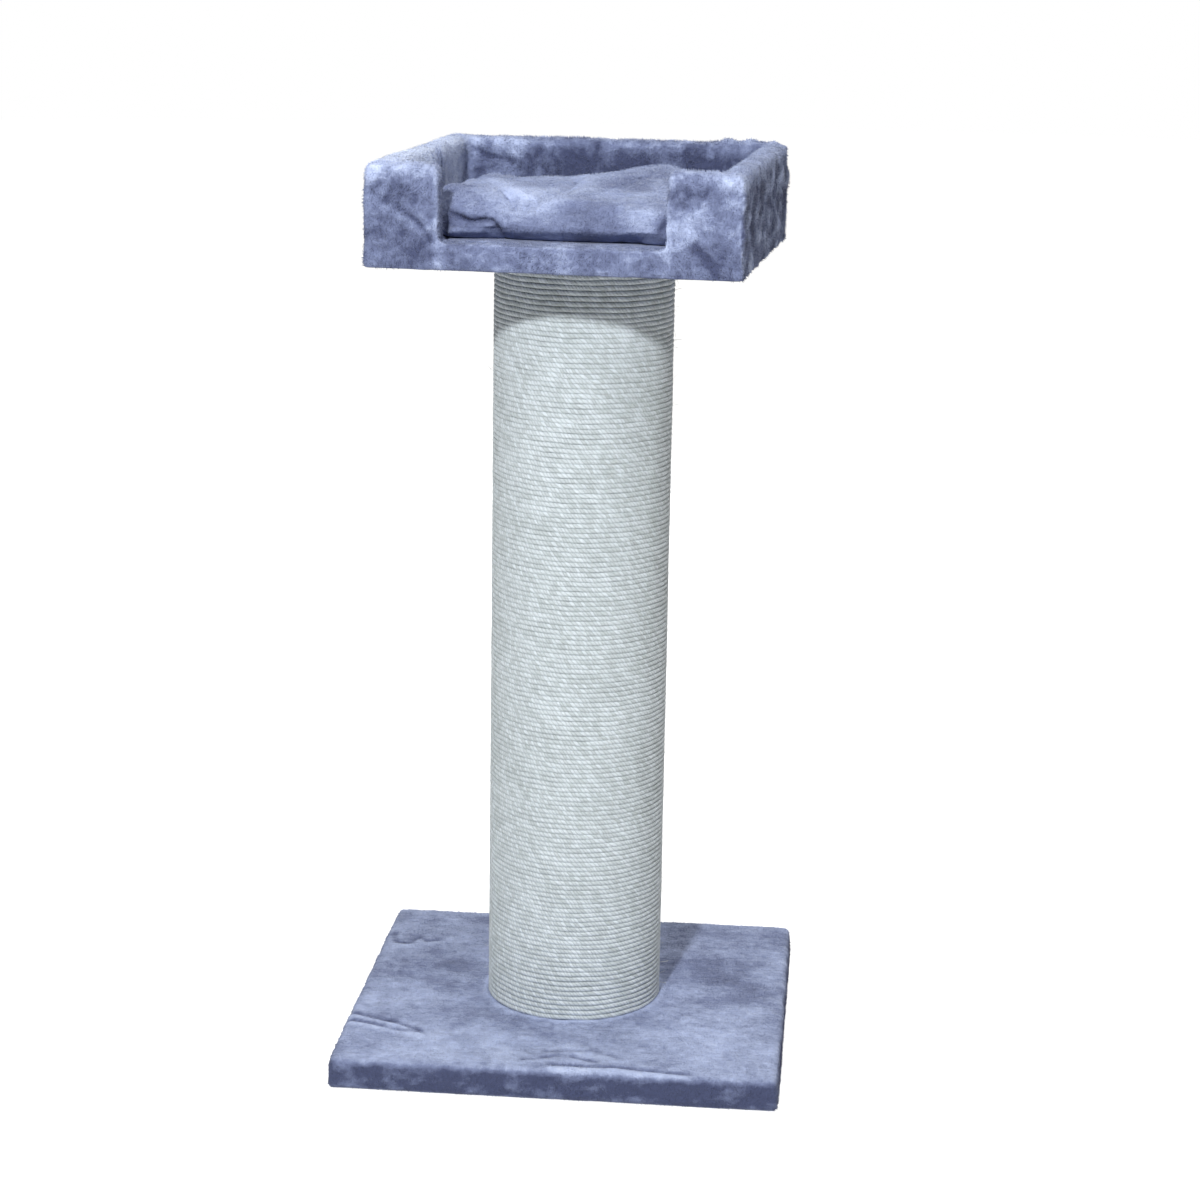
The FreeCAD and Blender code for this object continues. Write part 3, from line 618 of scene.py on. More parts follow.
def hem_staples(name, window, turned, level, spacing, seed):
    """A row of staples round a hem, 10 mm from the edge of its window."""
    width, depth = (2 * half + 0.02 for half in window)
    return grown(
        name,
        staples,
        Width=width,
        Depth=depth,
        Turned=turned,
        Level=level,
        Spacing=spacing,
        Crown=0.011,
        Wire=0.0007,
        Leg=0.003,
        Seed=seed,
        Material=steel,
    )


base_staples = hem_staples("base_staples", (HEM_X, HEM_Y), 0.0, 0.0006, 0.038, 5)
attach(base_staples, "root")


# ------------------------------------------------------------------ boards, bolts and screws
# Chipboard is the slab in the base and all the boards of the bed. Zinc-plated bolts, washers, prong
# nuts and screws hold base, post and bed together. They keep their CAD shapes.


def chipboard():
    """Pressed wood chips: pale and brown flakes of a few millimetres under a thin sanded skin."""
    material, tree, spot, shader = material_tree("chipboard")
    flat = tree.add("ShaderNodeMapping", {"Vector": spot, "Scale": (1, 1.6, 2.4)})
    chips = tree.add("ShaderNodeTexVoronoi", {"Vector": flat, "Scale": 230, "Randomness": 1})
    pick = tree.add("ShaderNodeSeparateColor", {0: chips.outputs["Color"]})
    brown, tan, straw, pale = (0.23, 0.14, 0.07), (0.45, 0.31, 0.17), (0.56, 0.41, 0.24), (0.66, 0.5, 0.31)
    wood = tree.ramp(pick, (0, brown), (0.35, tan), (0.7, straw), (1, pale))
    dusty = tree.blended(wood, tree.clouds(spot, 650, 3), 0.35, blend_type="OVERLAY")
    tree.fill(shader, {"Base Color": dusty, "Roughness": 0.8})
    tree.bumped(shader, (chips.outputs["Distance"], 0.35, 0.0006))
    return material


def dressed(names, material):
    """CAD nodes in this material."""
    for name in names:
        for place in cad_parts[name].material_slots:
            place.material = material


bed_boards = ["bed_floor_board", "left_wall_board", "right_wall_board", "back_wall_board"]
bed_boards += ["left_cheek_board", "right_cheek_board"]
dressed(["base_board", *bed_boards], chipboard())
dressed(["bolts", "washers", "prong_nuts", "upright_screws", "corner_screws"], steel)


# ------------------------------------------------------------------ post
# A paper tube with 8 mm walls, wound of kraft strip, stands between base and bed. A plywood plug is
# fixed in each end and holds the prong nut that the bolt turns into.


def kraft():
    """Brown paper tube: strips wound round it, with a fine seam every 60 mm of height."""
    material, tree, spot, shader = material_tree("kraft_paper_tube")
    x, y, z = tree.add("ShaderNodeSeparateXYZ", {0: spot}).outputs
    turn = tree.maths("MULTIPLY", tree.maths("ARCTAN2", y, x), 1 / (2 * math.pi))
    strip = tree.maths("FRACT", tree.maths("MULTIPLY_ADD", z, 1 / 0.06, turn))
    edge = tree.ranged(strip, 0, 1, end=0.03)
    brown = tree.ramp(tree.clouds(spot, 420, 4), (0.3, (0.2, 0.13, 0.075)), (0.72, (0.4, 0.28, 0.17)))
    seam = tree.blended(brown, edge, 0.45, blend_type="MULTIPLY")
    tree.fill(shader, {"Base Color": seam, "Roughness": 0.85})
    tree.bumped(shader, (edge, 0.4, 0.0004))
    return material


def plywood():
    """Pale plywood: long grain on its faces and darker glue lines between its plies."""
    material, tree, spot, shader = material_tree("plywood")
    long_grain = tree.add("ShaderNodeMapping", {"Vector": spot, "Scale": (14, 190, 60)})
    grain = tree.clouds(long_grain, 1, 4, distortion=0.8)
    birch = tree.ramp(grain, (0.3, (0.42, 0.28, 0.15)), (0.65, (0.68, 0.52, 0.34)))
    height = tree.add("ShaderNodeSeparateXYZ", {0: spot}).outputs[2]
    plies = tree.maths("PINGPONG", height, 0.0018)
    glue = tree.ranged(plies, 0.55, 1, end=0.0004)
    layered = tree.blended(birch, glue, blend_type="MULTIPLY")
    tree.fill(shader, {"Base Color": layered, "Roughness": 0.7})
    tree.bumped(shader, (grain, 0.25, 0.0003))
    return material


dressed(["post_tube"], kraft())
dressed(["end_plugs"], plywood())


# ------------------------------------------------------------------ sisal rope
# One length of 6 mm three-strand sisal is glued and wound round a paper tube, turn against turn,
# from the base to the bed, with its ends tacked at the back.

BED_LEVEL = round(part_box("bed_wall_cover")[0].z, 4)
ROPE_LINE, ROPE_PITCH, ROPE_LAY = 0.0975, 0.0055, 0.0135
ROPE_LOW, ROPE_HIGH = BASE_TOP + 0.0028, BED_LEVEL - 0.0028
LEVELLED_TURNS = 9


def sisal():
    """Pale twisted sisal: the strands' slope from the rope's own length and girth."""
    material, tree, spot, shader = material_tree("sisal_fibre")
    along = tree.read("along")
    girth = tree.read("girth")
    lay = tree.maths("MULTIPLY_ADD", along, -3 / ROPE_LAY, tree.maths("MULTIPLY", girth, 3))
    slip = tree.add("ShaderNodeTexNoise", {"W": along, "Scale": 24, "Detail": 2}, noise_dimensions="1D")
    lay = tree.maths("MULTIPLY_ADD", slip, 3.2, lay)
    strand = tree.add("ShaderNodeTexWhiteNoise", {"W": tree.maths("FLOOR", lay)}, noise_dimensions="1D")
    peak = tree.maths("PINGPONG", tree.maths("FRACT", lay), 0.5)
    crown = tree.ranged(peak, 0, 1, end=0.32, interpolation_type="SMOOTHERSTEP")
    fibre_place = tree.xyz(lay, tree.maths("MULTIPLY", along, 60))
    fibres = tree.clouds(fibre_place, 5, 3, 0.65)
    tone = tree.maths("MULTIPLY_ADD", fibres, 0.5, 0.11)
    tone = tree.maths("MULTIPLY_ADD", tree.clouds(spot, 14, 4, 0.6), 0.26, tone)
    tone = tree.maths("MULTIPLY_ADD", strand, 0.28, tone)
    colour = tree.ramp(tone, (0.3, (0.42, 0.465, 0.47)), (0.85, (0.78, 0.84, 0.885)))
    # Painted shade in the grooves between the strands, where the crown falls away.
    grey = tree.ranged(crown, 0.84, 1)
    colour = tree.blended(colour, grey, blend_type="MULTIPLY")
    # Painted shade on the rope towards the tube, in the grooves between the turns.
    out_from_post = tree.vectors("LENGTH", tree.vectors("MULTIPLY", spot, (1, 1, 0)))
    ridge = ROPE_LINE + 0.0023
    between = tree.ranged(out_from_post, 0.84, 1, ROPE_LINE, ridge, interpolation_type="SMOOTHSTEP")
    colour = tree.blended(colour, between, blend_type="MULTIPLY")
    tree.fill(
        shader, {"Base Color": colour, "Roughness": 0.82, "Specular IOR Level": 0.3, "Sheen Weight": 0.15}
    )
    tree.bumped(shader, (crown, 0.7, 0.0006), (fibres, 0.7, 0.0004))
    return material


def captured(tree, geometry, name, value):
    """The geometry with this value kept on it, and the value."""
    keep = tree.add("GeometryNodeCaptureAttribute")
    keep.capture_items.new("FLOAT", name)
    tree.fill(keep, {"Geometry": geometry, name: value})
    return keep.outputs["Geometry"], keep.outputs[name]


def levelled(tree, turns, sign):
    """Near an end the turns lie level and step up at the back, less and less for nine turns."""
    step = tree.add("ShaderNodeFloatCurve", {"Value": tree.maths("FRACT", turns)})
    points = step.mapping.curves[0].points
    points.new(0.9, 0.9)
    for point, place in zip(points, ((0, 0), (0.9, 0.9), (1, 0))):
        point.location = place
        point.handle_type = "VECTOR"
    step.mapping.update()
    fade = tree.ranged(turns, -sign * ROPE_PITCH, 0, end=LEVELLED_TURNS)
    return tree.maths("MULTIPLY", step, fade)


def rope_tree():
    """A rope of rounded square section, wound upward turn against turn, never quite evenly."""
    numbers = ["Line radius", "Turns", "Rise", "Foot", "Thickness", "Roundness"]
    tree, given = geometry_tree("rope_winding", numbers, "Steps a turn")
    helix = tree.add(
        "GeometryNodeCurveSpiral",
        {
            "Resolution": given["Steps a turn"],
            "Rotations": given["Turns"],
            "Start Radius": given["Line radius"],
            "End Radius": given["Line radius"],
            "Height": given["Rise"],
        },
    )
    along = tree.add("GeometryNodeSplineParameter").outputs
    line, length = captured(tree, helix, "along", along["Length"])
    uneven = tree.clouds(tree.add("GeometryNodeInputPosition"), 34).outputs["Color"]
    about = tree.vectors("SUBTRACT", uneven, (0.5, 0.5, 0.5))
    little = tree.vectors("MULTIPLY", about, (0.0012, 0.0012, 0.003))
    done = tree.maths("MULTIPLY", along["Factor"], given["Turns"])
    to_go = tree.maths("SUBTRACT", given["Turns"], done)
    both_ends = tree.maths("ADD", levelled(tree, done, 1), levelled(tree, to_go, -1))
    moved = tree.vectors("ADD", little, tree.xyz(z=both_ends))
    laid = tree.add("GeometryNodeSetPosition", {"Geometry": line, "Offset": moved})
    level = tree.add("GeometryNodeSetCurveNormal", {"Curve": laid}, mode="Z_UP")
    square = tree.add(
        "GeometryNodeCurvePrimitiveQuadrilateral", {"Width": given["Thickness"], "Height": given["Thickness"]}
    )
    section = tree.add(
        "GeometryNodeFilletCurve", {"Curve": square, "Count": 1, "Radius": given["Roundness"]}, mode="POLY"
    )
    section, girth = captured(tree, section, "girth", tree.add("GeometryNodeSplineParameter"))
    rope = tree.add("GeometryNodeCurveToMesh", {"Curve": level, "Profile Curve": section, "Fill Caps": True})
    rope = stored(tree, stored(tree, rope, "along", length), "girth", girth)
    foot = tree.xyz(z=given["Foot"])
    stand = tree.add(
        "GeometryNodeTransform", {"Geometry": rope, "Translation": foot, "Rotation": (0, 0, math.pi / 2)}
    )
    return ended(tree, stand, given["Material"])


rope = grown(
    "sisal_winding",
    rope_tree(),
    Line_radius=ROPE_LINE,
    Turns=(ROPE_HIGH - ROPE_LOW) / ROPE_PITCH,
    Steps_a_turn=76,
    Rise=ROPE_HIGH - ROPE_LOW,
    Foot=ROPE_LOW,
    Thickness=0.0054,
    Roundness=0.0014,
    Material=sisal(),
)
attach(rope, "root")
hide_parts("sisal_rope")


def hair_tree():
    """Curved loose fibres on the outer side of the rope, pointing every way and a little outward."""
    tree, given = geometry_tree("rope_hairs", ["Hairs a square metre", "Length", "Thickness"], "Seed")
    seed = given["Seed"]
    hairy = tree.add(
        "GeometryNodeDistributePointsOnFaces",
        {"Mesh": given["Geometry"], "Density": given["Hairs a square metre"], "Seed": seed},
    )
    flat = tree.vectors("MULTIPLY", tree.add("GeometryNodeInputPosition"), (1, 1, 0))
    away = tree.vectors("NORMALIZE", flat)
    outer = tree.vectors("DOT_PRODUCT", away, hairy.outputs["Normal"])
    inner = tree.add("FunctionNodeCompare", {0: outer, 1: 0.6}, operation="LESS_THAN")
    shown = tree.add("GeometryNodeDeleteGeometry", {"Geometry": hairy, "Selection": inner}, domain="POINT")
    wild = tree.random(seed, (-1, -1, -1), (1, 1, 1))
    pointing = tree.vectors("ADD", tree.scaled(away, 0.45), wild)
    turned = tree.add("FunctionNodeAlignRotationToVector", {"Vector": pointing}, axis="Z")
    strand = tree.add(
        "GeometryNodeCurvePrimitiveBezierSegment",
        {
            "Resolution": 4,
            "Start": (0, 0, 0),
            "Start Handle": (0.1, 0, 0.4),
            "End Handle": (0.35, 0.1, 0.7),
            "End": (0.45, 0.25, 0.9),
        },
    )
    span = tree.xyz(*[given["Length"]] * 3)
    sized = tree.add("GeometryNodeTransform", {"Geometry": strand, "Scale": span})
    thin = tree.add(
        "GeometryNodeCurvePrimitiveCircle", {"Resolution": 3, "Radius": given["Thickness"]}, mode="RADIUS"
    )
    hair = tree.add("GeometryNodeCurveToMesh", {"Curve": sized, "Profile Curve": thin, "Fill Caps": True})
    longer = tree.random(seed, 0.4, 1.5)
    sow = tree.add(
        "GeometryNodeInstanceOnPoints",
        {"Points": shown, "Instance": hair, "Rotation": turned, "Scale": longer},
    )
    return ended(tree, sow, given["Material"])


hair_fibre, tree, spot, shader = material_tree("loose_sisal_hair")
straw = tree.ramp(tree.clouds(spot, 180), (0, (0.5, 0.52, 0.5)), (1, (0.86, 0.9, 0.9)))
tree.fill(shader, {"Base Color": straw, "Roughness": 0.7})
rope_hairs = grown(
    "sisal_hairs",
    hair_tree(),
    rope.data.copy(),
    Hairs_a_square_metre=3200.0,
    Length=0.007,
    Thickness=0.00016,
    Seed=8,
    Material=hair_fibre,
)
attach(rope_hairs, "root")


# ------------------------------------------------------------------ bed
# A floor board and five wall boards, screwed together and wrapped in the same plush: one piece goes
# over the outside, the rims and the inside of the walls and is hemmed below, and sheets are glued to
# the floor's top and underside. Below, x and y are the bed's own, before it is turned.

BED_TURN = math.radians(-4.5)
BED_X, BED_Y, BED_TOP = 0.1994, 0.2024, 0.1098
SILL = 0.0288
INNER_X, INNER_Y, ENTRY = 0.1726, 0.1756, 0.1196
BED_HEM_X, BED_HEM_Y = 0.147, 0.15


def bed_uncovered(c, n):
    on_floor = n.z > 0.7 and c.z < SILL + 0.003 and abs(c.x) < INNER_X - 0.004 and abs(c.y) < INNER_Y - 0.002
    return on_floor or (n.z < -0.7 and abs(c.x) < BED_HEM_X and abs(c.y) < BED_HEM_Y)


BED_CREASES = [
    ([(-0.17, 0.176, 0.1), (-0.15, 0.176, 0.089), (-0.118, 0.176, 0.082)], 0.003),
    ([(-INNER_X, 0.04, 0.11), (-INNER_X, 0.045, 0.03)], 0.004),
]
BED_CREASES += [
    ([(x, -BED_Y, z) for x, z in path], reach)
    for path, reach in (
        ([(-0.181, 0.09), (-0.188, 0.08), (-0.176, 0.07), (-0.17, 0.082)], 0.004),
        ([(-0.165, 0.066), (-0.14, 0.05), (-0.127, 0.032)], 0.003),
        ([(0.15, 0.035), (0.165, 0.02), (0.172, 0.004)], 0.004),
    )
]
# Soft spots of (x, y, z, reach, amount) on the bed. Most are patches of the pile; the three on the inside of
# the left wall are painted sheen, the two on the top edge of the left cheek a painted highlight, and those
# along the inside of the back wall mostly darken a band under its rim.
BED_PILE_AND_LIGHT_SPOTS = [
    (-0.16, -0.2, 0.05, 0.06, -0.42), (-0.09, 0.176, 0.085, 0.03, -0.25), (-0.2, 0.0, 0.11, 0.09, -0.1),
    (-0.16, -0.2, 0.114, 0.02, 0.3), (-0.192, -0.2, 0.1, 0.014, 0.3),
    (-0.165, -0.2, 0.094, 0.014, -0.25), (-0.15, -0.2, 0.075, 0.016, -0.15), (-0.182, -0.2, 0.08, 0.012, 0.3),
    (-0.138, -0.2, 0.024, 0.012, -0.25), (-0.13, -0.2, 0.045, 0.014, 0.25),
    (-0.155, -0.2, 0.055, 0.014, 0.25),
    (0.152, -0.2, 0.092, 0.017, -0.45), (0.16, -0.2, 0.078, 0.006, 0.4), (0.19, -0.2, 0.08, 0.02, 0.25),
    (0.13, -0.2, 0.045, 0.016, 0.3), (0.152, -0.2, 0.022, 0.016, -0.3), (0.185, -0.2, 0.02, 0.018, -0.25),
    (0.195, -0.2, 0.05, 0.014, 0.3), (0.15, -0.2, 0.06, 0.02, 0.15),
    (-0.1726, -0.05, 0.09, 0.09, 1.0), (-0.1726, -0.13, 0.08, 0.06, 0.8), (-0.1726, 0.11, 0.08, 0.07, 0.95),
    (-0.15, 0.176, 0.078, 0.022, -0.35), (-0.04, 0.176, 0.078, 0.035, -0.42), (0.03, 0.176, 0.08, 0.03, -0.4),
    (0.1, 0.176, 0.08, 0.04, -0.4), (-0.08, 0.176, 0.085, 0.012, 0.1), (0.06, 0.176, 0.088, 0.01, 0.15),
    (-0.16, 0.176, 0.06, 0.03, -0.2), (0.0, 0.176, 0.06, 0.06, -0.2),
]
CORNER_BUNCH = [(0.13, 0.19, 0.106), (0.162, 0.187, 0.109), (0.185, 0.18, 0.105)]


def bed_relief(p, n):
    """How far the bed's plush stands out at a point, and its colour value: patches of the pile, with painted
    light on the rims and edges and painted shade in the creases.
    """
    if n.z < -0.5:
        return -0.0003 - 0.0004 * fbm(p, (40, 40, 40)), 0.3
    fold = max(near(p, path, reach) for path, reach in BED_CREASES)
    rim = clamped((p.z - 0.088) / 0.016)
    outer_side = n.x > 0.5 and p.x > 0.19
    outer = outer_side or (n.y > 0.5 and p.y > 0.19)
    inner_left = n.x > 0.5 and p.x < -0.16
    inner = inner_left or (n.y < -0.5 and p.y > 0.17)
    slow = fbm(p, (24, 24, 30), 4)
    # Painted light and shade: the rims of the walls are lighter, the creases darker.
    nap_and_painted_light = 0.44 + 0.25 * rim + 0.1 * slow + 0.75 * pile_and_light_spots(p, BED_PILE_AND_LIGHT_SPOTS) - 0.35 * fold
    nap_and_painted_light += (0.62 if outer_side else 0.4) * (fbm(p, (30, 28, 46), 4) + 0.02) * outer * (1 - rim)
    nap_and_painted_light += (0.26 * fbm(p, (55, 55, 15), 3) - 0.08 * slow - 0.06) * inner
    # Painted sheen down the rounded inner edges of the cheeks at the entry.
    nap_and_painted_light += 0.22 * near(Vector((abs(p.x), p.y, p.z)), [(0.12, -0.2, 0.0), (0.12, -0.2, 0.1)], 0.006)
    # Painted light on the top of the sill in the entry.
    nap_and_painted_light += 0.1 * (n.z > 0.6 and p.z < SILL + 0.003 and abs(p.x) < 0.12)
    height = 0.0011 * slow + 0.0009 * fbm(p + Vector((7, 3, 5)), (60, 60, 60), 3)
    if outer:
        height += 0.0019 * fbm(p, (34, 34, 46), 3)
    bunch = near(p, CORNER_BUNCH, 0.011)
    gathers = 0.5 + 0.5 * math.sin(p.x * 270 + p.y * 120 + 2 * slow)
    height += bunch * (0.0028 + 0.0028 * gathers) * max(0, n.z)
    if inner_left:
        height += 0.007 * clamped((0.06 - p.y) / 0.1) * bell((p.z - 0.085) / 0.03)
    height -= 0.002 * near(p, [(0.135, -0.2, 0.0), (0.18, -0.2, 0.0)], 0.008) * max(0, -n.y)
    return height - 0.0022 * fold, nap_and_painted_light


bed_plush = plush_sheet(
    "bed_plush",
    [
        ((-BED_X, -BED_Y, 0), (BED_X, BED_Y, SILL)),
        ((-BED_X, -BED_Y, 0), (-INNER_X, BED_Y, BED_TOP)),
        ((INNER_X, -BED_Y, 0), (BED_X, BED_Y, BED_TOP)),
        ((-BED_X, INNER_Y, 0), (BED_X, BED_Y, BED_TOP)),
        ((-BED_X, -BED_Y, 0), (-ENTRY, -INNER_Y, BED_TOP)),
        ((ENTRY, -BED_Y, 0), (BED_X, -INNER_Y, BED_TOP)),
    ],
    bed_uncovered,
    bed_relief,
    turn=BED_TURN,
    lift=BED_LEVEL,
    rim=(0.082, 0.1, BED_TOP, 34),
    window=(BED_HEM_X, BED_HEM_Y),
)
blue_grey_plush = plush("blue_grey_plush", 0.8)
bed_plush.data.materials.append(blue_grey_plush)
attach(bed_plush, "root")
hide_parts("bed_wall_cover")
bed_pile = pile(bed_plush, "bed_pile", 150000, plush("plush_fibres", 0.8, fibre=True), 0.0034, 4.2, 2)
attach(bed_pile, "root")


def floor_relief(p, n):
    """The floor sheet's slight waves, and its nap."""
    return (0.0005 * fbm(p, (60, 60, 60)) - 0.0003 if n.z > 0.5 else 0), 0.45 + 0.2 * fbm(p, (14, 14, 14))


def underside_relief(p, n):
    """The underside sheet, pressed thinner than the hem, and its nap."""
    return -0.0006 - 0.0004 * fbm(p, (40, 40, 40)), 0.3 + 0.2 * fbm(p, (14, 14, 14))


def flat_sheet(name, low, high, uncovered, relief):
    """A sheet on one side of the bed's floor board."""
    sheet = plush_sheet(
        name, [(low, high)], uncovered, relief, turn=BED_TURN, lift=BED_LEVEL, spacing=0.004, softening=1
    )
    sheet.data.materials.append(blue_grey_plush)
    return sheet


bed_floor_plush = flat_sheet(
    "bed_floor_plush",
    (-INNER_X, -INNER_Y, 0.0244),
    (INNER_X, INNER_Y, SILL),
    lambda c, n: n.z < 0.5,
    floor_relief,
)
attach(bed_floor_plush, "root")
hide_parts("bed_floor_cover")

bed_underside_plush = flat_sheet(
    "bed_underside_plush",
    (-BED_HEM_X, -BED_HEM_Y, 0),
    (BED_HEM_X, BED_HEM_Y, 0.0044),
    lambda c, n: n.z > -0.5,
    underside_relief,
)
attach(bed_underside_plush, "root")
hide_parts("bed_underside_cover")
bed_staples = hem_staples("bed_staples", (BED_HEM_X, BED_HEM_Y), BED_TURN, BED_LEVEL + 0.0003, 0.036, 6)
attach(bed_staples, "root")


# ------------------------------------------------------------------ cushion
# A loose square pillow of the same plush, softly filled and crumpled, lies in the bed. Its folds are
# paths of (x, y) on its top and of (x, z) on its front.

CUSHION_X, CUSHION_Y, CUSHION_FOOT = 0.1686, 0.1712, 0.0295
HUMP = (0.07, 0.065)
PILLOW_CUTS, PILLOW_SPACING = 39, 0.0042
PUFFING_FRAMES, PUFFING_LIMIT = 20, 0.009
TOP_FOLDS = [
    ([(-0.16, -0.068), (-0.102, -0.088), (-0.051, -0.14)], 0.007, 0.01),
    ([(-0.15, 0.07), (-0.093, -0.005), (-0.051, -0.1)], 0.008, 0.009),
    ([(-0.054, -0.132), (-0.028, -0.132), (-0.008, -0.1), (-0.014, -0.04), (-0.02, 0.06)], 0.011, 0.009),
    ([(0.019, -0.055), (0.05, -0.004), (0.077, 0.069), (0.14, 0.1)], 0.008, 0.007),
    ([(-0.13, 0.15), (-0.06, 0.11), (-0.03, 0.1)], 0.01, 0.008),
    ([(0.09, -0.08), (0.13, -0.03), (0.165, 0.03)], 0.009, 0.007),
    ([(0.03, -0.12), (0.07, -0.09), (0.1, -0.1)], 0.008, 0.005),
]
LEFT_TUCK = [
    (-0.122, 0.0575), (-0.106, 0.054), (-0.094, 0.05), (-0.079, 0.051), (-0.069, 0.0485), (-0.062, 0.041),
    (-0.06, 0.03),
]
RIGHT_TUCK = [(0.12, 0.068), (0.114, 0.057), (0.107, 0.046)]
LOWER_WELT = [(-0.121, 0.0365), (-0.1, 0.0375), (-0.084, 0.0362), (-0.067, 0.0325)]
# Soft spots of (x, y, z, reach, amount) on the cushion: patches of the pile on its top, and painted shade in
# the tuck where its right end goes behind the cheek and along the gap under its front.
CUSHION_PILE_AND_SHADE_SPOTS = [
    (-0.03, -0.12, 0.06, 0.03, 0.25), (0.09, -0.15, 0.06, 0.025, 0.35), (-0.04, -0.04, 0.06, 0.04, 0.2),
    (0.03, -0.175, 0.045, 0.04, -0.2), (-0.04, -0.175, 0.045, 0.03, -0.12),
    (-0.11, -0.11, 0.065, 0.025, -0.25),
    (0.11, -0.175, 0.05, 0.012, -0.55), (0.02, -0.18, 0.028, 0.01, -0.4), (0.06, -0.18, 0.03, 0.012, -0.4),
    (0.1, -0.18, 0.03, 0.01, -0.3), (-0.03, -0.18, 0.027, 0.01, -0.3),
    (-0.1, 0.02, 0.06, 0.03, 0.15), (0.0, 0.06, 0.06, 0.03, 0.2), (0.05, -0.01, 0.07, 0.03, -0.15),
]


def slack_pillow():
    """The pillow before it is blown up: two layers that meet at a welt, fuller inside, with a hump."""
    shape = bmesh.new()
    bmesh.ops.create_cube(shape, size=2)
    bmesh.ops.subdivide_edges(shape, edges=shape.edges, cuts=PILLOW_CUTS, use_grid_fill=True)
    for v in shape.verts:
        u, w, side = v.co
        edge = max(abs(u), abs(w))
        round_corner = edge / max(1e-6, (abs(u) ** 9 + abs(w) ** 9) ** (1 / 9))
        x = u * round_corner * (1 - 0.022 * (1 - w * w) * abs(u) ** 5) * (CUSHION_X - 0.004)
        y = w * round_corner * (1 - 0.018 * (1 - u * u) * abs(w) ** 5) * (CUSHION_Y - 0.004)
        full = max(0.0, 1 - max(abs(u) ** (14 if u < 0 else 7), abs(w) ** 7)) ** 0.5
        z = 0.011
        if side > 0.999:
            hump = bell((x - HUMP[0]) / 0.07, (y - HUMP[1]) / 0.08)
            front_left = bell((x + 0.12) / 0.05, (y + 0.125) / 0.05)
            front = bell((y + 0.13) / 0.04)
            left = bell((x + 0.16) / 0.05)
            z += full * (0.019 + 0.021 * hump + 0.004 * front + 0.007 * front_left + 0.004 * left)
        elif side < -0.999:
            z -= full * 0.0095
        v.co = (x, y, CUSHION_FOOT + z)
    bmesh.ops.remove_doubles(shape, verts=shape.verts, dist=1e-5)
    bmesh.ops.dissolve_degenerate(shape, edges=shape.edges, dist=1e-6)
    bmesh.ops.recalc_face_normals(shape, faces=shape.faces)
    mesh = bpy.data.meshes.new("cushion_plush")
    shape.to_mesh(mesh)
    shape.free()
    return mesh


def at_points(mesh, what):
    """Three numbers for each point of the mesh, its place or its normal."""
    values = np.zeros(len(mesh.vertices) * 3)
    mesh.vertices.foreach_get(what, values)
    return values.reshape(-1, 3)


def inside_bed(place):
    """Places kept between the bed's walls."""
    reach = (CUSHION_X, CUSHION_Y)
    place[:, :2] = np.clip(place[:, :2], -np.array(reach), reach)
    return place


def blown_up(piece):
    """Cloth simulation with air pressure inside, from which no point moves further than the limit."""
    remeshed(piece, PILLOW_SPACING)
    finished(piece)
    start = at_points(piece.data, "co")
    cloth = piece.modifiers.new("cloth", "CLOTH")
    cloth.settings.use_pressure = True
    cloth.settings.uniform_pressure_force = 3.5
    cloth.settings.effector_weights.gravity = 0
    cloth.settings.tension_stiffness = 8
    cloth.settings.bending_stiffness = 0.4
    cloth.point_cache.frame_start, cloth.point_cache.frame_end = 1, PUFFING_FRAMES
    for step in range(PUFFING_FRAMES):
        bpy.context.scene.frame_set(step + 1)
    finished(piece)
    bpy.context.scene.frame_set(1)
    move = at_points(piece.data, "co") - start
    far = np.linalg.norm(move, axis=1, keepdims=True)
    held = inside_bed(start + move * np.minimum(1, PUFFING_LIMIT / np.maximum(far, 1e-9)))
    held[:, 2] = np.maximum(held[:, 2], CUSHION_FOOT)
    piece.data.vertices.foreach_set("co", held.ravel())


cushion = link(slack_pillow(), "cushion_plush")
blown_up(cushion)
finer = cushion.modifiers.new("finer", "SUBSURF")
finer.levels = finer.render_levels = 1
finished(cushion)


def crease(point, path, reach):
    """A sharp crease: 1 on the path, falling fast at first and then softly."""
    return near(point, path, reach, power=1.2)


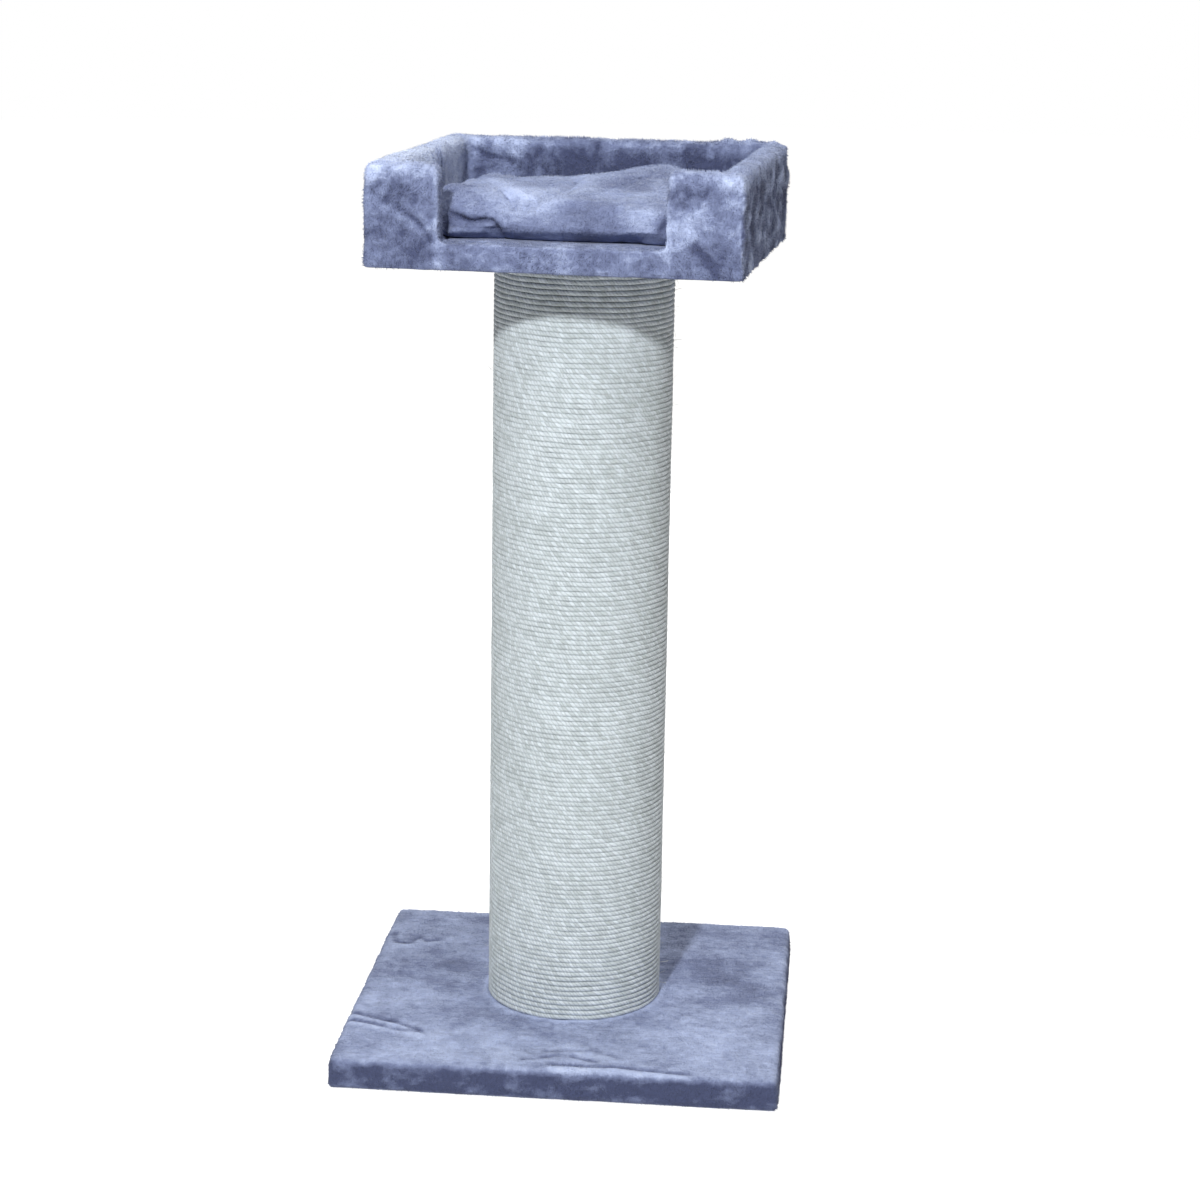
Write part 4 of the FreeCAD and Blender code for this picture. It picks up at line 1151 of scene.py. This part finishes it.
def crumpled(p, n):
    """How far the folds move a point of the cushion along its normal and forward, and its colour value:
    patches of the pile, with painted shade in the folds and tucks and painted highlights beside them.
    """
    flat = p.xy
    slow = fbm(p + Vector((3, 1, 2)), (16, 18, 16), 3)
    up = max(0, n.z)
    down = sum(depth * crease(flat, path, reach) for path, reach, depth in TOP_FOLDS) * up
    beside = sum(depth * near(flat, path, reach * 3) for path, reach, depth in TOP_FOLDS) * up
    soft = (0.003 * slow + 0.0008 * fbm(p, (50, 50, 50), 2)) * (1 if n.z > -0.3 else 0) + 0.6 * beside
    # Painted shade in the folds, a painted highlight on the pile beside them, and the top a little lighter as
    # painted light.
    nap_and_painted_light = 0.47 + 0.16 * slow - 22 * down + 20 * beside + 0.1 * up + pile_and_light_spots(p, CUSHION_PILE_AND_SHADE_SPOTS)
    front = clamped((-0.135 - p.y) / 0.03) * clamped((0.1192 - abs(p.x)) / 0.0025)
    face = p.xz
    tuck = crease(face, LEFT_TUCK, 0.0035) + crease(face, RIGHT_TUCK, 0.004)
    below = p.x < -0.06 and p.z < np.interp(p.x, *zip(*LEFT_TUCK), left=0.056)
    welt = near(face, LOWER_WELT, 0.0045)
    lip = 0.017 * bell((p.z - 0.039) / 0.025) * (0.35 if below else 1)
    lip += 0.009 * welt * below - 0.008 * tuck
    # Painted shade in the tucks and on the lower front under the left tuck, a painted highlight on the welt,
    # and the front a little darker than the top as painted light.
    nap_and_painted_light += (0.3 * welt * below - 0.6 * tuck - 0.14 * below - 0.1) * front
    return soft - down, lip * front, nap_and_painted_light


out = at_points(cushion.data, "normal")
place = at_points(cushion.data, "co")
outward, forward, nap_and_painted_light = np.array([crumpled(Vector(p), Vector(n)) for p, n in zip(place, out)]).T
place = inside_bed(place + out * outward[:, None])
place[:, 1] -= forward
place[:, 2] = np.maximum(place[:, 2], CUSHION_FOOT + 0.0024 * (place[:, 1] < -CUSHION_Y))
cushion.data.vertices.foreach_set("co", place.ravel())
painted(cushion.data, "nap_and_painted_light", nap_and_painted_light)
painted(cushion.data, "fur", (out[:, 2] > -0.5).astype(float))
cushion.data.transform(Matrix.Translation((0, 0, BED_LEVEL)) @ Matrix.Rotation(BED_TURN, 4, "Z"))
cushion.data.shade_smooth()
cushion.data.materials.append(plush("pillow_plush", 0.32))
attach(cushion, "cushion")
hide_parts("cushion_cover", "cushion_filling")
pillow_fibres = plush("pillow_fibres", 0.32, fibre=True)
cushion_pile = pile(cushion, "cushion_pile", 180000, pillow_fibres, 0.003, 3.8, 4, thickness=0.0005)
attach(cushion_pile, "cushion")
